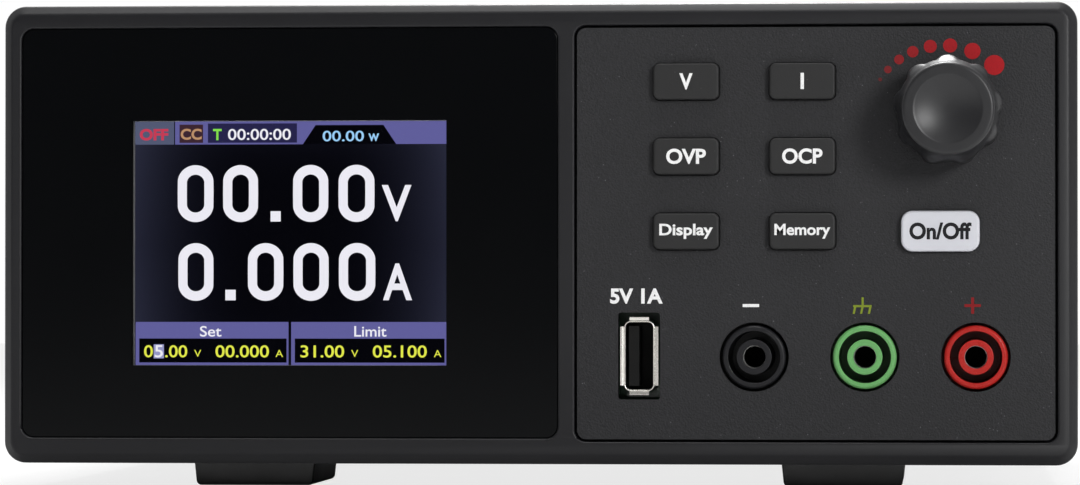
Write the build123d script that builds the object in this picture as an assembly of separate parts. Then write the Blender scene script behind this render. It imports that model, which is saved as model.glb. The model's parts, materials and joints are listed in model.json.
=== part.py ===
from build123d import *
import os
from math import asin, cos, radians, sin, tan

# Bench power supply. X runs to the right, Y from front to back, Z up, in millimetres.
# While it is drawn, Y is 0 on the face of the bezel and Z is 0 on its underside.
# At the end the whole unit is moved so that its box stands centred on the origin.

# Case
case_d = 195.0           # face of the bezel to the rear panel
foot_h = 5.0             # bezel underside above the bench
bezel_d = 26.0
bezel_wall = 2.4
bezel_front = 3.4        # front wall
bezel_corner = 4.0
bezel_inner_corner = 0.8
bezel_slope = 1.6        # slope round the front edge
rib_t = 1.4              # ribs inside the bezel
rib_d = 14.0             # rib between the two halves, from the front wall
gusset_h = 4.0
gusset_d = 10.0
gusset_pitch = 28.0
gusset_count = 6
root = 0.5               # how far a boss or post grows into its wall
seam = 0.4               # bezel skirt to cover
cover_t = 1.0
cover_corner = 3.0
cover_lap = 0.4          # cover edge behind the front face of the chassis frame
plate_t = 1.2            # chassis and rear panel
sheet_gap = 0.2          # between nested sheet pieces
frame_y = 20.8           # front frame of the chassis, behind the bezel bosses
frame_rim = 8.0
frame_corner = 3.0
flange_h = 12.0          # side flanges of the chassis
rear_flange = 9.0        # flanges of the rear panel
head_room = 0.4          # sheet cut away round a screw head

# Display window, flush in its recess
window_left = 3.6        # bezel side to window
window_w = 100.4
window_low = 4.9         # bezel underside to window
window_top = 4.4         # window to the top of the bezel
window_t = 1.5
window_set = 0.4         # window face behind the bezel face
window_corner = 2.2
window_gap = 0.1

# Screen module
screen_w = 58.9          # lit area
screen_h = 45.6
screen_drop = 1.9        # lit area below the middle of the window
screen_margin = 0.8
module_side = 5.2        # frame of the module beside the lit area
module_edge = 2.5        # frame above and below it
module_d = 3.2
module_corner = 1.0
module_pocket = 0.4

# Control panel, in its own opening
window_to_panel = 3.7
panel_right = 4.2        # panel to bezel side
panel_low = 4.7
panel_top = 4.6
panel_t = 2.0
panel_set = 0.2          # panel face behind the bezel face
panel_corner = 1.7
panel_groove = 0.45      # dark line round the panel
panel_ledge = 3.0

# Keys, placed from the left and lower edges of the panel
key_w = 12.2
key_h = 6.75
key_corner = 1.2
key_left = 20.3
key_low = 38.45
key_top = 10.05          # upper row to the top of the panel
key_pitch_x = 21.45
key_pitch_z = 13.85
key_proud = 1.8          # cap face in front of the panel face
key_travel = 0.5
key_gap = 0.15           # cap to its opening
key_flange = 1.0         # retaining rim behind the panel
key_flange_gap = 0.1
key_round = 0.45
output_w = 14.4
output_h = 7.5
output_corner = 2.1
output_right = 21.0      # its middle to the right edge of the panel

# Tact switches
switch_w = 6.0
switch_d = 3.5
switch_bore = 1.85
stem_r = 1.75
stem_bite = 0.6          # stem inside the switch at rest
switch_room = 0.9        # free depth past the pressed stem

# Rotary encoder and its knob
dial_right = 19.6        # axis to the right edge of the panel
dial_down = 15.8         # axis to the top edge of the panel
bush_r = 3.5
bush_gap = 0.1
bush_proud = 2.6         # bush in front of the panel face
nut_flats = 10.0
nut_t = 2.0
thread_gap = 0.02        # between mating threads
encoder_w = 12.4
encoder_h = 13.4
encoder_d = 6.5
encoder_wall = 1.0
shaft_r = 3.0
shaft_flat = 1.5         # flat of the D, from the axis
shaft_gap = 0.05
shaft_past = 1.2         # shaft behind the rotor
shaft_free = 0.4         # free depth past the pressed shaft
rotor_r = 5.2
rotor_t = 2.0
rotor_gap = 0.1
rotor_end_gap = 0.05
rotor_shelf = 1.2        # ring behind the rotor
press_travel = 0.5
knob_r = 10.2            # over the lobes
knob_core = 9.3
lobe_r = 2.3
lobes = 9
lobe_blend = 0.8
knob_face_r = 8.5
knob_edge = 0.7
knob_cap_t = 4.0         # knob in front of the shaft
knob_h = 15.5
knob_lift = 1.0          # knob above the panel face at rest
knob_skirt = 9.0         # height of the lobed part
knob_swell = 0.2         # shoulder past the lobes where it starts
shoulder_bend = 2.5      # how long the shoulder leaves the lobes upright
shoulder_lean = 0.4
shoulder_end = 4.0       # how long it meets the face upright
knob_cavity_r = 6.3
knob_cavity_h = 3.6
knob_fit = 0.02
dish_r = 6.6
dish_d = 1.1

# USB-A socket, standing upright
usb_left = 11.5
usb_up = 15.4
usb_in_w = 5.12
usb_in_h = 12.5
usb_wall = 0.3
usb_lip = 0.65
usb_mouth_corner = 0.4
usb_lip_corner = 0.5
usb_set = 0.5            # lips behind the panel face
usb_window_w = 7.8
usb_window_h = 16.1
usb_window_corner = 0.6
tongue_w = 1.9
tongue_h = 11.1
tongue_in = 0.55         # tongue from the left side of the mouth
tongue_set = 1.6         # tongue behind the lips
usb_base_t = 1.4
usb_base_gap = 0.05

# Shrouded 4 mm safety sockets
socket_left = 32.8       # first socket from the left edge of the panel
socket_pitch = 20.4
socket_right = 14.5      # last socket to the right edge
socket_up = 15.25
socket_hole_r = 6.4
socket_r = 5.85
socket_edge = 0.35
socket_ring_r = 4.8      # inside of the outer ring
socket_core_r = 3.25     # inner tube
socket_mouth_r = 2.1
socket_proud = 0.5
socket_l = 24.0
socket_groove = 17.0     # depth of the ring-shaped groove
socket_board_gap = 0.15
socket_flange_r = 7.4
socket_flange_t = 1.5
socket_nut_flats = 14.0
socket_nut_t = 3.0
contact_bore_r = 2.0
contact_wall = 0.5
contact_set = 3.0        # contact behind the mouth
contact_gap = 0.05
contact_depth = 17.0
contact_l = 19.5
tail_r = 1.3
tail_l = 6.0

# Boards
board_t = 1.6
board_corner = 1.5
control_board_y = 13.0
control_board_in = 3.1   # board inside the outline of the panel
post_r = 2.4
post_inset = 2.5         # post axis inside the ledge
lcd_side = 5.35          # screen board past the module, sideways
lcd_edge = 4.7           # and above and below
lcd_post_r = 2.2
lcd_post_inset = 2.9
lcd_skin = 0.8           # wall left in front of a screen board screw
small_screw_r = 1.1
small_head_r = 2.0
small_head_h = 1.4
small_screw_l = 6.0
screw_gap = 0.05
hole_room = 0.3          # clearance hole round a small screw
tip_room = 0.5           # pilot hole past the tip of its screw

# Bezel fixing
boss_r = 2.5
boss_in = 5.8            # boss axis from the side and the top of the bezel
bezel_screw_l = 8.5

# Case screws
case_screw_r = 1.5
case_head_r = 2.8
case_head_h = 1.6
head_bevel = 0.35        # share of the head height
cover_screw_up = 5.0     # above the chassis base
cover_screw_in = 20.0    # from the front and rear edges of the cover
thread_out = 2.0         # screw past the sheet that it is threaded into
rear_screw_in = 18.0     # from the side of the chassis

# Fan
fan_w = 60.0
fan_d = 20.0
fan_in = 44.0            # fan axis from the side of the rear panel
fan_hole_in = 5.0        # screw from the edge of the frame
fan_hole_r = 2.1
fan_corner = 4.5
fan_rim = 3.2            # full square rim at each end of the frame
fan_ring = 1.6           # duct wall between the rims
fan_lug = 19.0           # both corners of a side together
duct_wall = 1.4          # frame beside the duct, at the middle of a side
strut_w = 3.0
hub_r = 14.5
hub_edge = 1.4
blade_gap = 0.7          # blade tip to the duct
blades = 7
blade_t = 1.3
blade_root = 1.0         # blade inside the hub
blade_in = 1.25          # blade shorter than the hub, each end
root_pitch = 38.0        # blade angle at the hub, in degrees
tip_pitch = 56.0
fan_web = 2.5
rotor_room = 0.4         # rotor to the motor base
rotor_inset = 1.0        # rotor behind the front of the frame
spindle_r = 2.0
spindle_gap = 0.06
spindle_end = 0.3
fan_head_r = 3.6
fan_head_h = 1.8
fan_thread = 16.0        # screw inside the frame
guard_rings = 3
guard_bar = 2.2
guard_eye = 6.4          # plain disc in the middle

# Mains inlet with its fuse drawer
inlet_in = 34.0          # inlet from the side of the rear panel
inlet_w = 27.0
inlet_h = 33.0
inlet_corner = 0.8
inlet_rim_w = 2.0        # flange past the body, sideways
inlet_rim_h = 2.5
inlet_flange_t = 2.2
inlet_flange_corner = 2.0
inlet_bevel = 0.6
inlet_d = 24.0
inlet_fit = 0.2
plug_w = 24.2
plug_h = 16.6
plug_cut = 5.0
plug_round = 1.0
plug_up = 6.2            # plug recess above the middle of the inlet
plug_depth = 17.0
pin_pitch = 7.0
pin_rise = 2.0
pin_a = 4.0
pin_b = 2.0
pin_l = 14.0
pin_tip = 0.6
pin_fit = 0.02
tab_l = 8.0
tab_t = 0.8
tab_w = 6.3
drawer_w = 22.0
drawer_h = 7.4
drawer_down = 10.8
drawer_d = 18.0
drawer_gap = 0.15
drawer_wall = 1.0
drawer_back_t = 1.5
drawer_front_t = 4.0
drawer_lip = 1.4
drawer_lip_w = 1.0       # lip past the drawer, sideways
drawer_lip_h = 0.8
drawer_lip_gap = 0.1
drawer_travel = 14.0
fuse_r = 2.6
fuse_l = 19.4
fuse_cap_l = 5.0
fuse_cap_t = 0.25
fuse_back = 0.2          # fuse to the back wall of the drawer

# Mains rocker switch
rocker_pitch = 36.0      # middle of the rocker to the middle of the inlet
rocker_rim = 1.0         # flange past the body
rocker_flange_t = 1.8
rocker_flange_corner = 1.5
rocker_bevel = 0.5
rocker_body_w = 13.0
rocker_body_h = 19.0
rocker_body_d = 15.0
rocker_w = 9.6
rocker_r = 7.8
rocker_angle = 10.0
rocker_in = 2.0          # pivot behind the outside of the rear panel
rocker_proud = 3.6       # valley outside the pivot
rocker_deep = 4.5        # rocker behind the pivot
rocker_gap = 0.3
rocker_floor = 0.6       # well deeper than the sweep of the rocker
trunnion_r = 1.2
trunnion_l = 1.2
trunnion_gap = 0.06

# Feet
foot_in = 43.7           # foot from the side of the bezel
foot_cheek = 4.25        # on either side of the leg
foot_land = 6.8          # behind the leg, round the screw
foot_taper = 0.8
foot_round = 1.0
foot_head_in = 2.6       # screw head above the underside
front_foot_y = 26.6
leg_w = 15.0
leg_l = 24.0
leg_t = 2.6
leg_tip = 1.0            # rounding of the free end
leg_gap = 0.25
leg_barrel_r = 1.7
leg_pin_r = 1.0
leg_pin_l = 2.0
leg_pin_gap = 0.06
leg_pin_end = 0.2
leg_axis_in = 3.2        # hinge axis behind the front of the foot
leg_lift = 0.6           # folded leg above the bench
grip_w = 9.0             # finger groove near the free end of the leg
grip_h = 3.0
grip_deep = 0.8
grip_in = 5.5
rear_foot_r = 8.5
rear_foot_in = 16.0      # rear foot axis in front of the rear panel

# Vents
vent_w = 3.0
vent_h = 20.0
vent_pitch = 8.0
vent_count = 10
vent_rows = 2
vent_row_pitch = 27.0
vent_back = 55.0         # middle of the side slots behind the edge of the cover
floor_slot_l = 14.0
floor_slot_w = 3.0
floor_pitch_x = 14.0
floor_pitch_y = 26.0
floor_columns = 7
floor_rows = 3

# Converter board and its stand-offs
board_side = 10.8        # board to the side flange of the chassis
main_y = 36.0
main_corner = 3.0
wire_room = 7.2          # board to the tabs of the inlet
standoff_h = 8.0
standoff_r = 3.0
standoff_in = 5.0
row_in = 9.0             # parts to the front and rear edges of the board

# Heatsinks and transistors
sink_off = 12.0          # heatsink to the transformer
sink_in = 19.0           # heatsink to the front and rear edges of the board
sink_t = 3.0
sink_h = 42.0
fin_l = 10.2
fin_t = 2.0
fins = 8
transistor_pitch = 32.0
package_w = 10.2
package_t = 4.6
package_h = 16.0
package_up = 12.0
lead_pitch = 2.54
lead_w = 0.9
lead_t = 0.6
lead_out = 2.4           # leads from the face of the heatsink

# Transformer
core_w = 34.0
core_h = 30.0
core_t = 14.0
core_leg = 8.0
core_up = 3.0            # core above the board
coil_d = 30.0
coil_corner = 3.0
coil_gap = 0.1
bobbin_w = 26.0
bobbin_d = 8.0
bobbin_up = 1.2
bobbin_lap = 1.5         # bobbin ledge against the coil
coil_pins = 4
coil_pin_w = 0.9
coil_pin_pitch = 6.0

# Capacitors and chokes
cap_r = 11.0
cap_h = 34.0
can_bevel = 0.8
can_groove = 0.6
can_groove_up = 3.0
can_groove_h = 1.2
small_cap_r = 5.0
small_cap_h = 20.0
small_cap_pitch = 11.0
small_caps = 3
choke_r = 12.5
choke_hole_r = 4.5
choke_h = 8.0
choke_round = 2.4

# Front layout that follows from the sizes above
panel_w = socket_left + 2 * socket_pitch + socket_right
panel_h = key_low + 2 * key_pitch_z + key_top
case_w = window_left + window_w + window_to_panel + panel_w + panel_right
case_h = panel_low + panel_h + panel_top
window_h = case_h - window_low - window_top
window_x = -case_w / 2 + window_left + window_w / 2
window_z = window_low + window_h / 2
screen_x = window_x
screen_z = window_z - screen_drop
panel_x0 = -case_w / 2 + window_left + window_w + window_to_panel
panel_x1 = panel_x0 + panel_w
panel_x = panel_x0 + panel_w / 2
panel_z = panel_low + panel_h / 2
panel_back = panel_set + panel_t
key_rows = [panel_low + key_low + row * key_pitch_z for row in range(3)]
key_cols = [panel_x0 + key_left + column * key_pitch_x for column in range(2)]
dial_x = panel_x1 - dial_right
dial_z = panel_low + panel_h - dial_down
usb_x = panel_x0 + usb_left
usb_z = panel_low + usb_up
sockets_x = [panel_x0 + socket_left + n * socket_pitch for n in range(3)]
socket_z = panel_low + socket_up
switch_y = control_board_y - switch_d
board_back = control_board_y + board_t
lcd_board_y = bezel_front + module_d

# Sheet metal
cover_out_x = case_w / 2 - bezel_wall - seam
cover_in_x = cover_out_x - cover_t
cover_top = case_h - bezel_wall - seam
base_z = bezel_wall + seam                 # underside of the chassis
floor_z = base_z + plate_t                 # upper face of the chassis base
frame_x = cover_in_x - sheet_gap
frame_top = cover_top - cover_t - sheet_gap
sheet_corner = cover_corner - cover_t
cover_y = frame_y + cover_lap
rear_y = case_d - plate_t                  # inside face of the rear panel
rear_z = (floor_z + frame_top) / 2         # middle of the rear panel
cover_screw_z = floor_z + cover_screw_up

# Rear and inside
fan_x = fan_in - frame_x
fan_y = rear_y - fan_d
duct_r = fan_w / 2 - duct_wall
inlet_x = frame_x - inlet_in
inlet_face = case_d + inlet_flange_t
rocker_x = inlet_x - rocker_pitch
board_z = floor_z + standoff_h
deck_z = board_z + board_t                 # upper face of the main board
main_w = 2 * (frame_x - plate_t - board_side)
main_d = inlet_face - inlet_d - tab_l - wire_room - main_y
foot_x = case_w / 2 - foot_in
foot_w = leg_w + 2 * (leg_gap + foot_cheek)
foot_d = leg_axis_in + leg_l + foot_land
foot_screw_y = front_foot_y + foot_d - foot_land / 2
rear_foot_y = case_d - rear_foot_in

key_places = {
    "voltage_key": (key_cols[0], key_rows[2]),
    "current_key": (key_cols[1], key_rows[2]),
    "over_voltage_key": (key_cols[0], key_rows[1]),
    "over_current_key": (key_cols[1], key_rows[1]),
    "display_key": (key_cols[0], key_rows[0]),
    "memory_key": (key_cols[1], key_rows[0]),
}
output_place = (panel_x1 - output_right, key_rows[0])


def block(profile, y0, y1):
    """Profile drawn in the front view, X across and Z up, running from depth y0 to y1."""
    front = Plane(origin=(0, y0, 0), x_dir=(1, 0, 0), z_dir=(0, -1, 0))
    return extrude(front * profile, amount=y0 - y1)


def across(profile, x0, x1):
    """Profile drawn in the side view, Y across and Z up, running from x0 to x1."""
    side = Plane(origin=(x0, 0, 0), x_dir=(0, 1, 0), z_dir=(1, 0, 0))
    return extrude(side * profile, amount=x1 - x0)


def stack(profile, z0, z1):
    """Profile drawn in the plan, X across and Y back, running from height z0 to z1."""
    return extrude(Plane.XY.offset(z0) * profile, amount=z1 - z0)


def bar(x, z, r, y0, y1):
    """Round bar along Y."""
    return block(Pos(x, z) * Circle(r), y0, y1)


def from_base(width, height):
    """Rectangle centred sideways, standing on its lower edge."""
    return Rectangle(width, height, align=(Align.CENTER, Align.MIN))


def front_edges(solid):
    return solid.faces().sort_by(Axis.Y)[0].edges()


def rear_edges(solid):
    return solid.faces().sort_by(Axis.Y)[-1].edges()


def top_corners(outline):
    return outline.vertices().group_by(Axis.Y)[-1]


def rows_of(outline, pitch_a, pitch_b, count_a, count_b):
    """Outline repeated on a grid as one sketch."""
    return Sketch() + [place * outline for place in GridLocations(pitch_a, pitch_b, count_a, count_b)]


def corners(x, z, half_w, half_h):
    return [(x + sx * half_w, z + sz * half_h) for sx in (-1, 1) for sz in (-1, 1)]


def pan_screw(shank_r, length, head_r, head_h):
    """Screw along Z with its seat at zero, head up and shank down."""
    head = Cylinder(head_r, head_h, align=(Align.CENTER, Align.CENTER, Align.MIN))
    head = chamfer(head.faces().sort_by(Axis.Z)[-1].edges(), head_h * head_bevel)
    return head + Cylinder(shank_r, length, align=(Align.CENTER, Align.CENTER, Align.MAX))


# Bezel and window

window_back = window_set + window_t
module_w = screen_w + 2 * module_side
module_h = screen_h + 2 * module_edge
lcd_board_w = module_w + 2 * lcd_side
lcd_board_h = module_h + 2 * lcd_edge
boss_places = corners(0, case_h / 2, case_w / 2 - boss_in, case_h / 2 - boss_in)
lcd_posts = corners(
    screen_x, screen_z, lcd_board_w / 2 - lcd_post_inset, lcd_board_h / 2 - lcd_post_inset
)


def window_outline(grow):
    outline = RectangleRounded(window_w + 2 * grow, window_h + 2 * grow, window_corner + grow)
    return Pos(window_x, window_z) * outline


def panel_outline(grow):
    outline = RectangleRounded(panel_w + 2 * grow, panel_h + 2 * grow, panel_corner + grow)
    return Pos(panel_x, panel_z) * outline


def bezel_ribs():
    """Upright rib between the two halves, and gussets where the front wall meets top and bottom."""
    low, high = bezel_wall - root, case_h - bezel_wall + root
    rib_x = panel_x0 - window_to_panel / 2
    ribs = [block(Pos(rib_x, low) * from_base(rib_t, high - low), bezel_front - root, bezel_front + rib_d)]
    for wall_z, inward in ((low, 1), (high, -1)):
        tip = wall_z + inward * (gusset_h + root)
        side = Polygon(
            (bezel_front - root, wall_z), (bezel_front + gusset_d, wall_z),
            (bezel_front + gusset_d, wall_z + inward * root), (bezel_front - root, tip), align=None,
        )
        for n in range(gusset_count):
            x = (n - (gusset_count - 1) / 2) * gusset_pitch
            ribs.append(across(side, x - rib_t / 2, x + rib_t / 2))
    return ribs


def front_bezel():
    middle = Pos(0, case_h / 2)
    body = block(middle * RectangleRounded(case_w, case_h, bezel_corner), 0, bezel_d)
    body = chamfer(front_edges(body), bezel_slope)
    inner_w = case_w - 2 * bezel_wall
    inner_h = case_h - 2 * bezel_wall
    inner = middle * RectangleRounded(inner_w, inner_h, bezel_inner_corner)
    body -= block(inner, bezel_front, bezel_d)
    for rib in bezel_ribs():
        body += rib
    body -= block(window_outline(window_gap), 0, window_back)
    opening = Rectangle(screen_w + 2 * screen_margin, screen_h + 2 * screen_margin)
    body -= block(Pos(screen_x, screen_z) * opening, 0, bezel_front)
    body -= block(panel_outline(panel_groove), 0, panel_back)
    ledge = Rectangle(panel_w - 2 * panel_ledge, panel_h - 2 * panel_ledge)
    body -= block(Pos(panel_x, panel_z) * ledge, 0, bezel_front)
    for x, z in boss_places:
        body += bar(x, z, boss_r, bezel_front - root, frame_y)
    for x, z in lcd_posts:
        body += bar(x, z, lcd_post_r, bezel_front - root, lcd_board_y)
    for x, z in boss_places:
        pilot_y = frame_y - bezel_screw_l - tip_room
        body -= bar(x, z, small_screw_r + screw_gap, pilot_y, frame_y)
    for x, z in lcd_posts:
        body -= bar(x, z, small_screw_r + screw_gap, window_back + lcd_skin, lcd_board_y)
    return body


def display_window():
    return block(window_outline(0), window_set, window_back)


def lcd_module():
    place = Pos(screen_x, screen_z)
    body = block(place * RectangleRounded(module_w, module_h, module_corner), bezel_front, lcd_board_y)
    glass = block(place * Rectangle(screen_w, screen_h), bezel_front, bezel_front + module_pocket)
    return body - glass


def lcd_board():
    outline = Pos(screen_x, screen_z) * RectangleRounded(lcd_board_w, lcd_board_h, board_corner)
    board = block(outline, lcd_board_y, lcd_board_y + board_t)
    for x, z in lcd_posts:
        board -= bar(x, z, small_screw_r + hole_room, lcd_board_y, lcd_board_y + board_t)
    return board


# Control panel and what shows through it

post_in = panel_ledge + post_inset
post_places = corners(panel_x, panel_z, panel_w / 2 - post_in, panel_h / 2 - post_in)


def key_outline(place, width, height, corner, grow):
    return Pos(*place) * RectangleRounded(width + 2 * grow, height + 2 * grow, corner + grow)


def control_panel():
    panel = block(panel_outline(0), panel_set, panel_back)
    holes = [key_outline(p, key_w, key_h, key_corner, key_gap) for p in key_places.values()]
    holes.append(key_outline(output_place, output_w, output_h, output_corner, key_gap))
    holes.append(Pos(dial_x, dial_z) * Circle(bush_r + bush_gap))
    holes.append(Pos(usb_x, usb_z) * RectangleRounded(usb_window_w, usb_window_h, usb_window_corner))
    holes += [Pos(x, socket_z) * Circle(socket_hole_r) for x in sockets_x]
    for hole in holes:
        panel -= block(hole, panel_set, panel_back)
    for x, z in post_places:
        panel += bar(x, z, post_r, panel_back - root, control_board_y)
    for x, z in post_places:
        pilot_y = control_board_y - small_screw_l
        panel -= bar(x, z, small_screw_r + screw_gap, pilot_y, control_board_y)
    return panel


def key(place, width, height, corner):
    """Cap, retaining rim behind the panel, and the stem that works the switch."""
    face = panel_set - key_proud
    rim_y = panel_back + key_flange_gap
    cap = block(key_outline(place, width, height, corner, 0), face, rim_y)
    cap = fillet(front_edges(cap), key_round)
    cap += block(key_outline(place, width, height, corner, key_flange), rim_y, rim_y + key_flange)
    return cap + bar(*place, stem_r, rim_y, switch_y + stem_bite)


def key_switches():
    """Seven switch bodies on the board, each with the bore that its key's stem runs in."""
    depth = stem_bite + key_travel + switch_room
    group = []
    for x, z in [*key_places.values(), output_place]:
        body = block(Pos(x, z) * Rectangle(switch_w, switch_w), switch_y, control_board_y)
        group.append(body - bar(x, z, switch_bore, switch_y, switch_y + depth))
    return group


def control_board():
    board_w = panel_w - 2 * control_board_in
    board_h = panel_h - 2 * control_board_in
    outline = Pos(panel_x, panel_z) * RectangleRounded(board_w, board_h, board_corner)
    board = block(outline, control_board_y, board_back)
    for x, z in post_places:
        board -= bar(x, z, small_screw_r + hole_room, control_board_y, board_back)
    for x in sockets_x:
        board -= bar(x, socket_z, socket_r + socket_board_gap, control_board_y, board_back)
    return board


def board_screws():
    """Small screws of the screen board and the control board, heads to the rear."""
    turn = Rot(-90, 0, 0)
    lcd_back = lcd_board_y + board_t
    lcd_length = lcd_back - window_back - lcd_skin - tip_room
    lcd_screw = turn * pan_screw(small_screw_r, lcd_length, small_head_r, small_head_h)
    post_screw = turn * pan_screw(small_screw_r, small_screw_l, small_head_r, small_head_h)
    group = [Pos(x, lcd_back, z) * lcd_screw for x, z in lcd_posts]
    return group + [Pos(x, board_back, z) * post_screw for x, z in post_places]


# Rotary encoder

encoder_y = control_board_y - encoder_d
rotor_y = encoder_y + encoder_wall
rotor_back = rotor_y + rotor_t
bush_y = panel_set - bush_proud
shaft_end_y = rotor_back + shaft_past
knob_back = panel_set - knob_lift
knob_front = knob_back - knob_h
shaft_tip_y = knob_front + knob_cap_t


def d_outline(r, flat):
    """Round outline with a flat on its upper side."""
    cut = Pos(0, flat + r) * Rectangle(3 * r, 2 * r)
    return Pos(dial_x, dial_z) * (Circle(r) - cut)


def encoder_body():
    """Housing on the board with its bush, and the cavity that the rotor turns in."""
    body = block(Pos(dial_x, dial_z) * Rectangle(encoder_w, encoder_h), encoder_y, control_board_y)
    body += bar(dial_x, dial_z, bush_r, bush_y, encoder_y)
    body -= bar(dial_x, dial_z, shaft_r + shaft_gap, bush_y, rotor_y)
    body -= bar(dial_x, dial_z, rotor_r + rotor_gap, rotor_y - rotor_end_gap, rotor_back + rotor_end_gap)
    free_y = shaft_end_y + press_travel + shaft_free
    return body - bar(dial_x, dial_z, rotor_r - rotor_shelf, rotor_back, free_y)


def encoder_rotor():
    disc = bar(dial_x, dial_z, rotor_r, rotor_y, rotor_back)
    return disc - block(d_outline(shaft_r + shaft_gap, shaft_flat + shaft_gap), rotor_y, rotor_back)


def encoder_shaft():
    """D-shaped shaft: it turns the rotor and slides through it when the knob is pressed."""
    return block(d_outline(shaft_r, shaft_flat), shaft_tip_y, shaft_end_y)


def encoder_nut():
    outline = RegularPolygon(nut_flats / 2, 6, major_radius=False)
    nut = block(Pos(dial_x, dial_z) * outline, panel_set - nut_t, panel_set)
    return nut - bar(dial_x, dial_z, bush_r + thread_gap, panel_set - nut_t, panel_set)


def encoder_knob():
    """Nine-lobed grip that narrows over a curved shoulder to a round face with a finger dish."""
    lobe_at = knob_r - lobe_r
    outline = Circle(knob_core)
    for n in range(lobes):
        angle = radians(90 + n * 360 / lobes)
        outline += Pos(lobe_at * cos(angle), lobe_at * sin(angle)) * Circle(lobe_r)
    outline = fillet(outline.vertices(), lobe_blend)
    grip = block(outline, knob_front, knob_back)

    wide = knob_r + knob_swell
    neck = knob_back - knob_skirt
    rim = knob_face_r - knob_edge
    face_edge = (knob_face_r, knob_front + knob_edge)
    shoulder = Bezier(
        (wide, neck), (wide, neck - shoulder_bend),
        (knob_face_r + shoulder_lean, knob_front + shoulder_end), face_edge,
    )
    half = Polyline((0, knob_back), (wide, knob_back), (wide, neck)) + shoulder
    half += RadiusArc(face_edge, (rim, knob_front), -knob_edge)
    half += Line((rim, knob_front), (dish_r, knob_front))
    dish_sphere = (dish_r ** 2 + dish_d ** 2) / (2 * dish_d)
    half_turn = asin(dish_r / dish_sphere) / 2
    dish_y = knob_front + dish_d
    on_dish = (dish_sphere * sin(half_turn), dish_y - dish_sphere * (1 - cos(half_turn)))
    half += ThreePointArc((dish_r, knob_front), on_dish, (0, dish_y))
    half += Line((0, dish_y), (0, knob_back))
    knob = Pos(dial_x, 0, dial_z) * (grip & revolve(make_face(half), Axis.Y))

    knob -= bar(dial_x, dial_z, knob_cavity_r, knob_back - knob_cavity_h, knob_back)
    socket = d_outline(shaft_r + knob_fit, shaft_flat + knob_fit)
    return knob - block(socket, shaft_tip_y - knob_fit, knob_back)


# USB-A socket

usb_y = panel_set + usb_set


def usb_shell():
    """Folded shell standing on the board, with flared lips round its mouth."""
    place = Pos(usb_x, usb_z)
    tube_w = usb_in_w + 2 * usb_wall
    tube_h = usb_in_h + 2 * usb_wall
    mouth = RectangleRounded(usb_in_w, usb_in_h, usb_mouth_corner)
    tube = RectangleRounded(tube_w, tube_h, usb_mouth_corner + usb_wall)
    lips = RectangleRounded(tube_w + 2 * usb_lip, tube_h + 2 * usb_lip, usb_lip_corner)
    shell = block(place * tube, usb_y, control_board_y)
    shell += block(place * lips, usb_y, usb_y + usb_wall)
    return shell - block(place * mouth, usb_y, control_board_y)


def usb_tongue():
    """Contact tongue, nearer one long side, on the base that closes the shell."""
    base = Rectangle(usb_in_w - 2 * usb_base_gap, usb_in_h - 2 * usb_base_gap)
    base = fillet(base.vertices(), usb_mouth_corner)
    tongue = Pos(tongue_in + (tongue_w - usb_in_w) / 2, 0) * Rectangle(tongue_w, tongue_h)
    body = block(Pos(usb_x, usb_z) * tongue, usb_y + tongue_set, control_board_y)
    return body + block(Pos(usb_x, usb_z) * base, control_board_y - usb_base_t, control_board_y)


# Safety sockets

socket_y = panel_set - socket_proud
contact_y = socket_y + contact_set


def terminal(x):
    """Insulator: outer ring, ring-shaped groove, inner tube, and flange seated on the board."""
    body = bar(x, socket_z, socket_r, socket_y, socket_y + socket_l)
    body = chamfer(front_edges(body), socket_edge)
    body += bar(x, socket_z, socket_flange_r, control_board_y - socket_flange_t, control_board_y)
    ring = Pos(x, socket_z) * (Circle(socket_ring_r) - Circle(socket_core_r))
    body -= block(ring, socket_y, socket_y + socket_groove)
    body -= bar(x, socket_z, socket_mouth_r, socket_y, contact_y)
    bore_r = contact_bore_r + contact_wall + contact_gap
    return body - bar(x, socket_z, bore_r, contact_y, socket_y + socket_l)


def terminal_contacts():
    """Sprung 4 mm tubes, blind at the back, each with a solder tail."""
    group = []
    end_y = contact_y + contact_gap + contact_l
    for x in sockets_x:
        tube = bar(x, socket_z, contact_bore_r + contact_wall, contact_y + contact_gap, end_y)
        tube -= bar(x, socket_z, contact_bore_r, contact_y + contact_gap, contact_y + contact_depth)
        group.append(tube + bar(x, socket_z, tail_r, end_y, end_y + tail_l))
    return group


def terminal_nuts():
    group = []
    outline = RegularPolygon(socket_nut_flats / 2, 6, major_radius=False)
    back = board_back + socket_nut_t
    for x in sockets_x:
        nut = block(Pos(x, socket_z) * outline, board_back, back)
        group.append(nut - bar(x, socket_z, socket_r + thread_gap, board_back, back))
    return group


# Sheet metal case

case_hole_r = case_screw_r + screw_gap
cover_screw_y = [
    cover_y + cover_screw_in, (cover_y + case_d) / 2, case_d - cover_screw_in,
]
foot_screw_places = [(sx * foot_x, y) for sx in (-1, 1) for y in (foot_screw_y, rear_foot_y)]
rear_screw_places = [(sx * (frame_x - rear_screw_in), rear_y - rear_flange / 2) for sx in (-1, 1)]


def cover_screw_holes(reach):
    return [across(Pos(y, cover_screw_z) * Circle(case_hole_r), -reach, reach) for y in cover_screw_y]


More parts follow.
